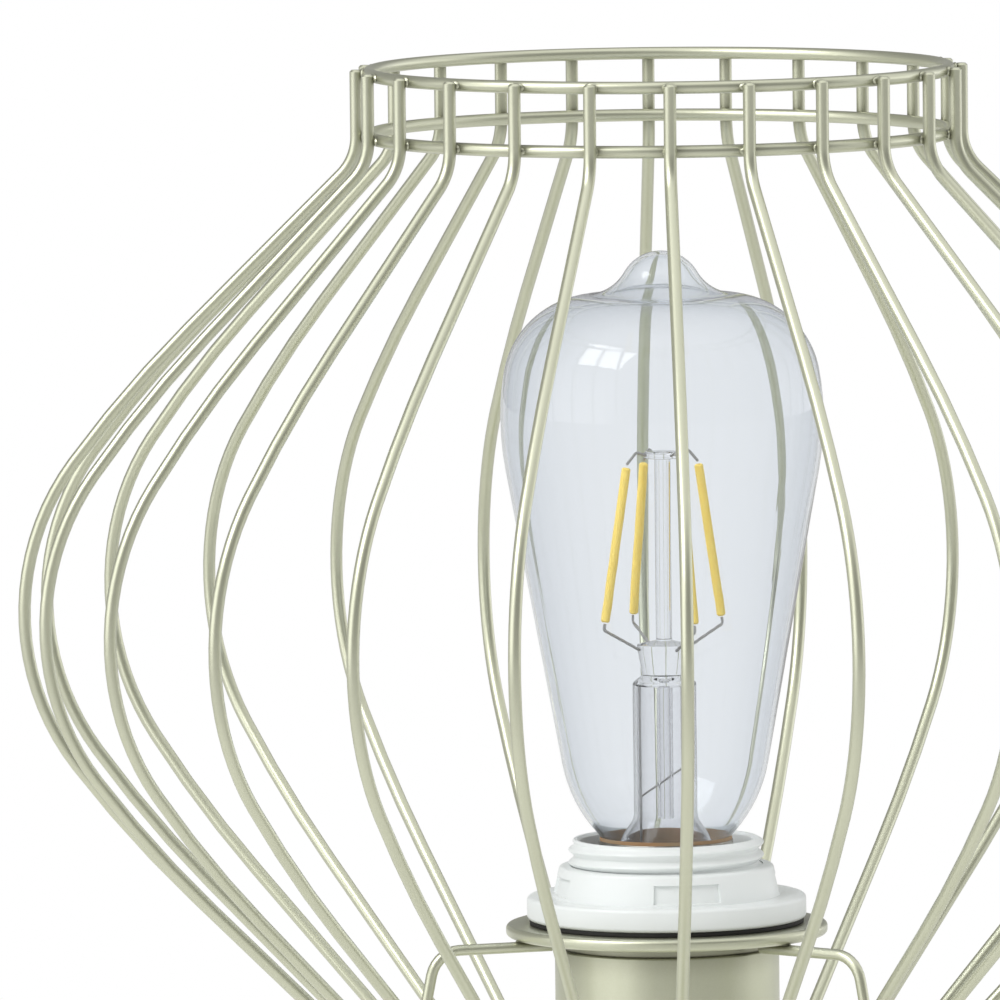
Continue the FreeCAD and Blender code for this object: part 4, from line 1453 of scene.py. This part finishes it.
def build_light(scene, stage):
    """Large soft box at the upper left that faces the lamp."""
    data = bpy.data.lights.new("key_light", "AREA")
    data.shape = "RECTANGLE"
    data.size, data.size_y = KEY_SIDES
    data.energy = stage.key_power
    light = bpy.data.objects.new("key_light", data)
    light.location = KEY_PLACE
    beam = Vector((0, 0, stage.aim_height)) - Vector(KEY_PLACE)
    light.rotation_euler = beam.to_track_quat("-Z", "Y").to_euler()
    scene.collection.objects.link(light)


def build_camera(scene, stage):
    """Camera at the photo's place, aim and roll."""
    place = Vector((0, -stage.camera_distance, stage.camera_height))
    ahead = (Vector((-stage.aim_side, 0, stage.aim_height)) - place).normalized()
    right = ahead.cross(UP).normalized()
    up = right.cross(ahead)
    rolled = right * math.cos(stage.roll) + up * math.sin(stage.roll)
    upright = up * math.cos(stage.roll) - right * math.sin(stage.roll)
    data = bpy.data.cameras.new("photo_camera")
    data.lens = stage.lens
    data.sensor_width = SENSOR_WIDTH
    data.clip_end = FAR_CLIP
    camera = bpy.data.objects.new("photo_camera", data)
    turn = Matrix((rolled, upright, -ahead)).transposed().to_4x4()
    camera.matrix_world = Matrix.Translation(place) @ turn
    scene.collection.objects.link(camera)
    scene.camera = camera


class LAMP_OT_stage(bpy.types.Operator):
    """Floor, world, light and camera."""
    bl_idname = "lamp.stage"
    bl_label = "Stage"

    def execute(self, context):
        scene = context.scene
        stage = scene.lamp_stage
        scene.view_settings.view_transform = "Standard"
        build_floor(scene, stage)
        scene.world = studio_world(stage)
        build_light(scene, stage)
        build_camera(scene, stage)
        return {"FINISHED"}


STEPS = (
    LAMP_OT_cage_wires, LAMP_OT_cage_rings, LAMP_OT_cage_welds, LAMP_OT_fitter, LAMP_OT_cup,
    LAMP_OT_lampholder, LAMP_OT_clamping_ring, LAMP_OT_bulb_glass, LAMP_OT_bulb_mount,
    LAMP_OT_bulb_cap, LAMP_OT_stand, LAMP_OT_kept_nodes, LAMP_OT_stage)

SETTINGS = {
    "lamp_cage": CageSizes,
    "lamp_fitter": FitterSizes,
    "lamp_holder": HolderSizes,
    "lamp_bulb": BulbSizes,
    "lamp_colours": LampColours,
    "lamp_stage": StageSizes,
}


class LAMP_PT_build(bpy.types.Panel):
    """Build steps of the lamp."""
    bl_idname = "LAMP_PT_build"
    bl_label = "Wire Cage Table Lamp"
    bl_space_type = "VIEW_3D"
    bl_region_type = "UI"
    bl_category = "Lamp"

    def draw(self, context):
        for step in STEPS:
            self.layout.operator(step.bl_idname)


def register():
    """Registers the settings, steps and panel."""
    for name, settings in SETTINGS.items():
        bpy.utils.register_class(settings)
        setattr(bpy.types.Scene, name, bpy.props.PointerProperty(type=settings))
    for step in (*STEPS, LAMP_PT_build):
        bpy.utils.register_class(step)


def unregister():
    """Removes what register added."""
    for step in (LAMP_PT_build, *reversed(STEPS)):
        bpy.utils.unregister_class(step)
    for name, settings in SETTINGS.items():
        delattr(bpy.types.Scene, name)
        bpy.utils.unregister_class(settings)


def main():
    """Builds the lamp step by step."""
    register()
    for step in STEPS:
        group, name = step.bl_idname.split(".")
        getattr(getattr(bpy.ops, group), name)()


if __name__ == "__main__":
    main()
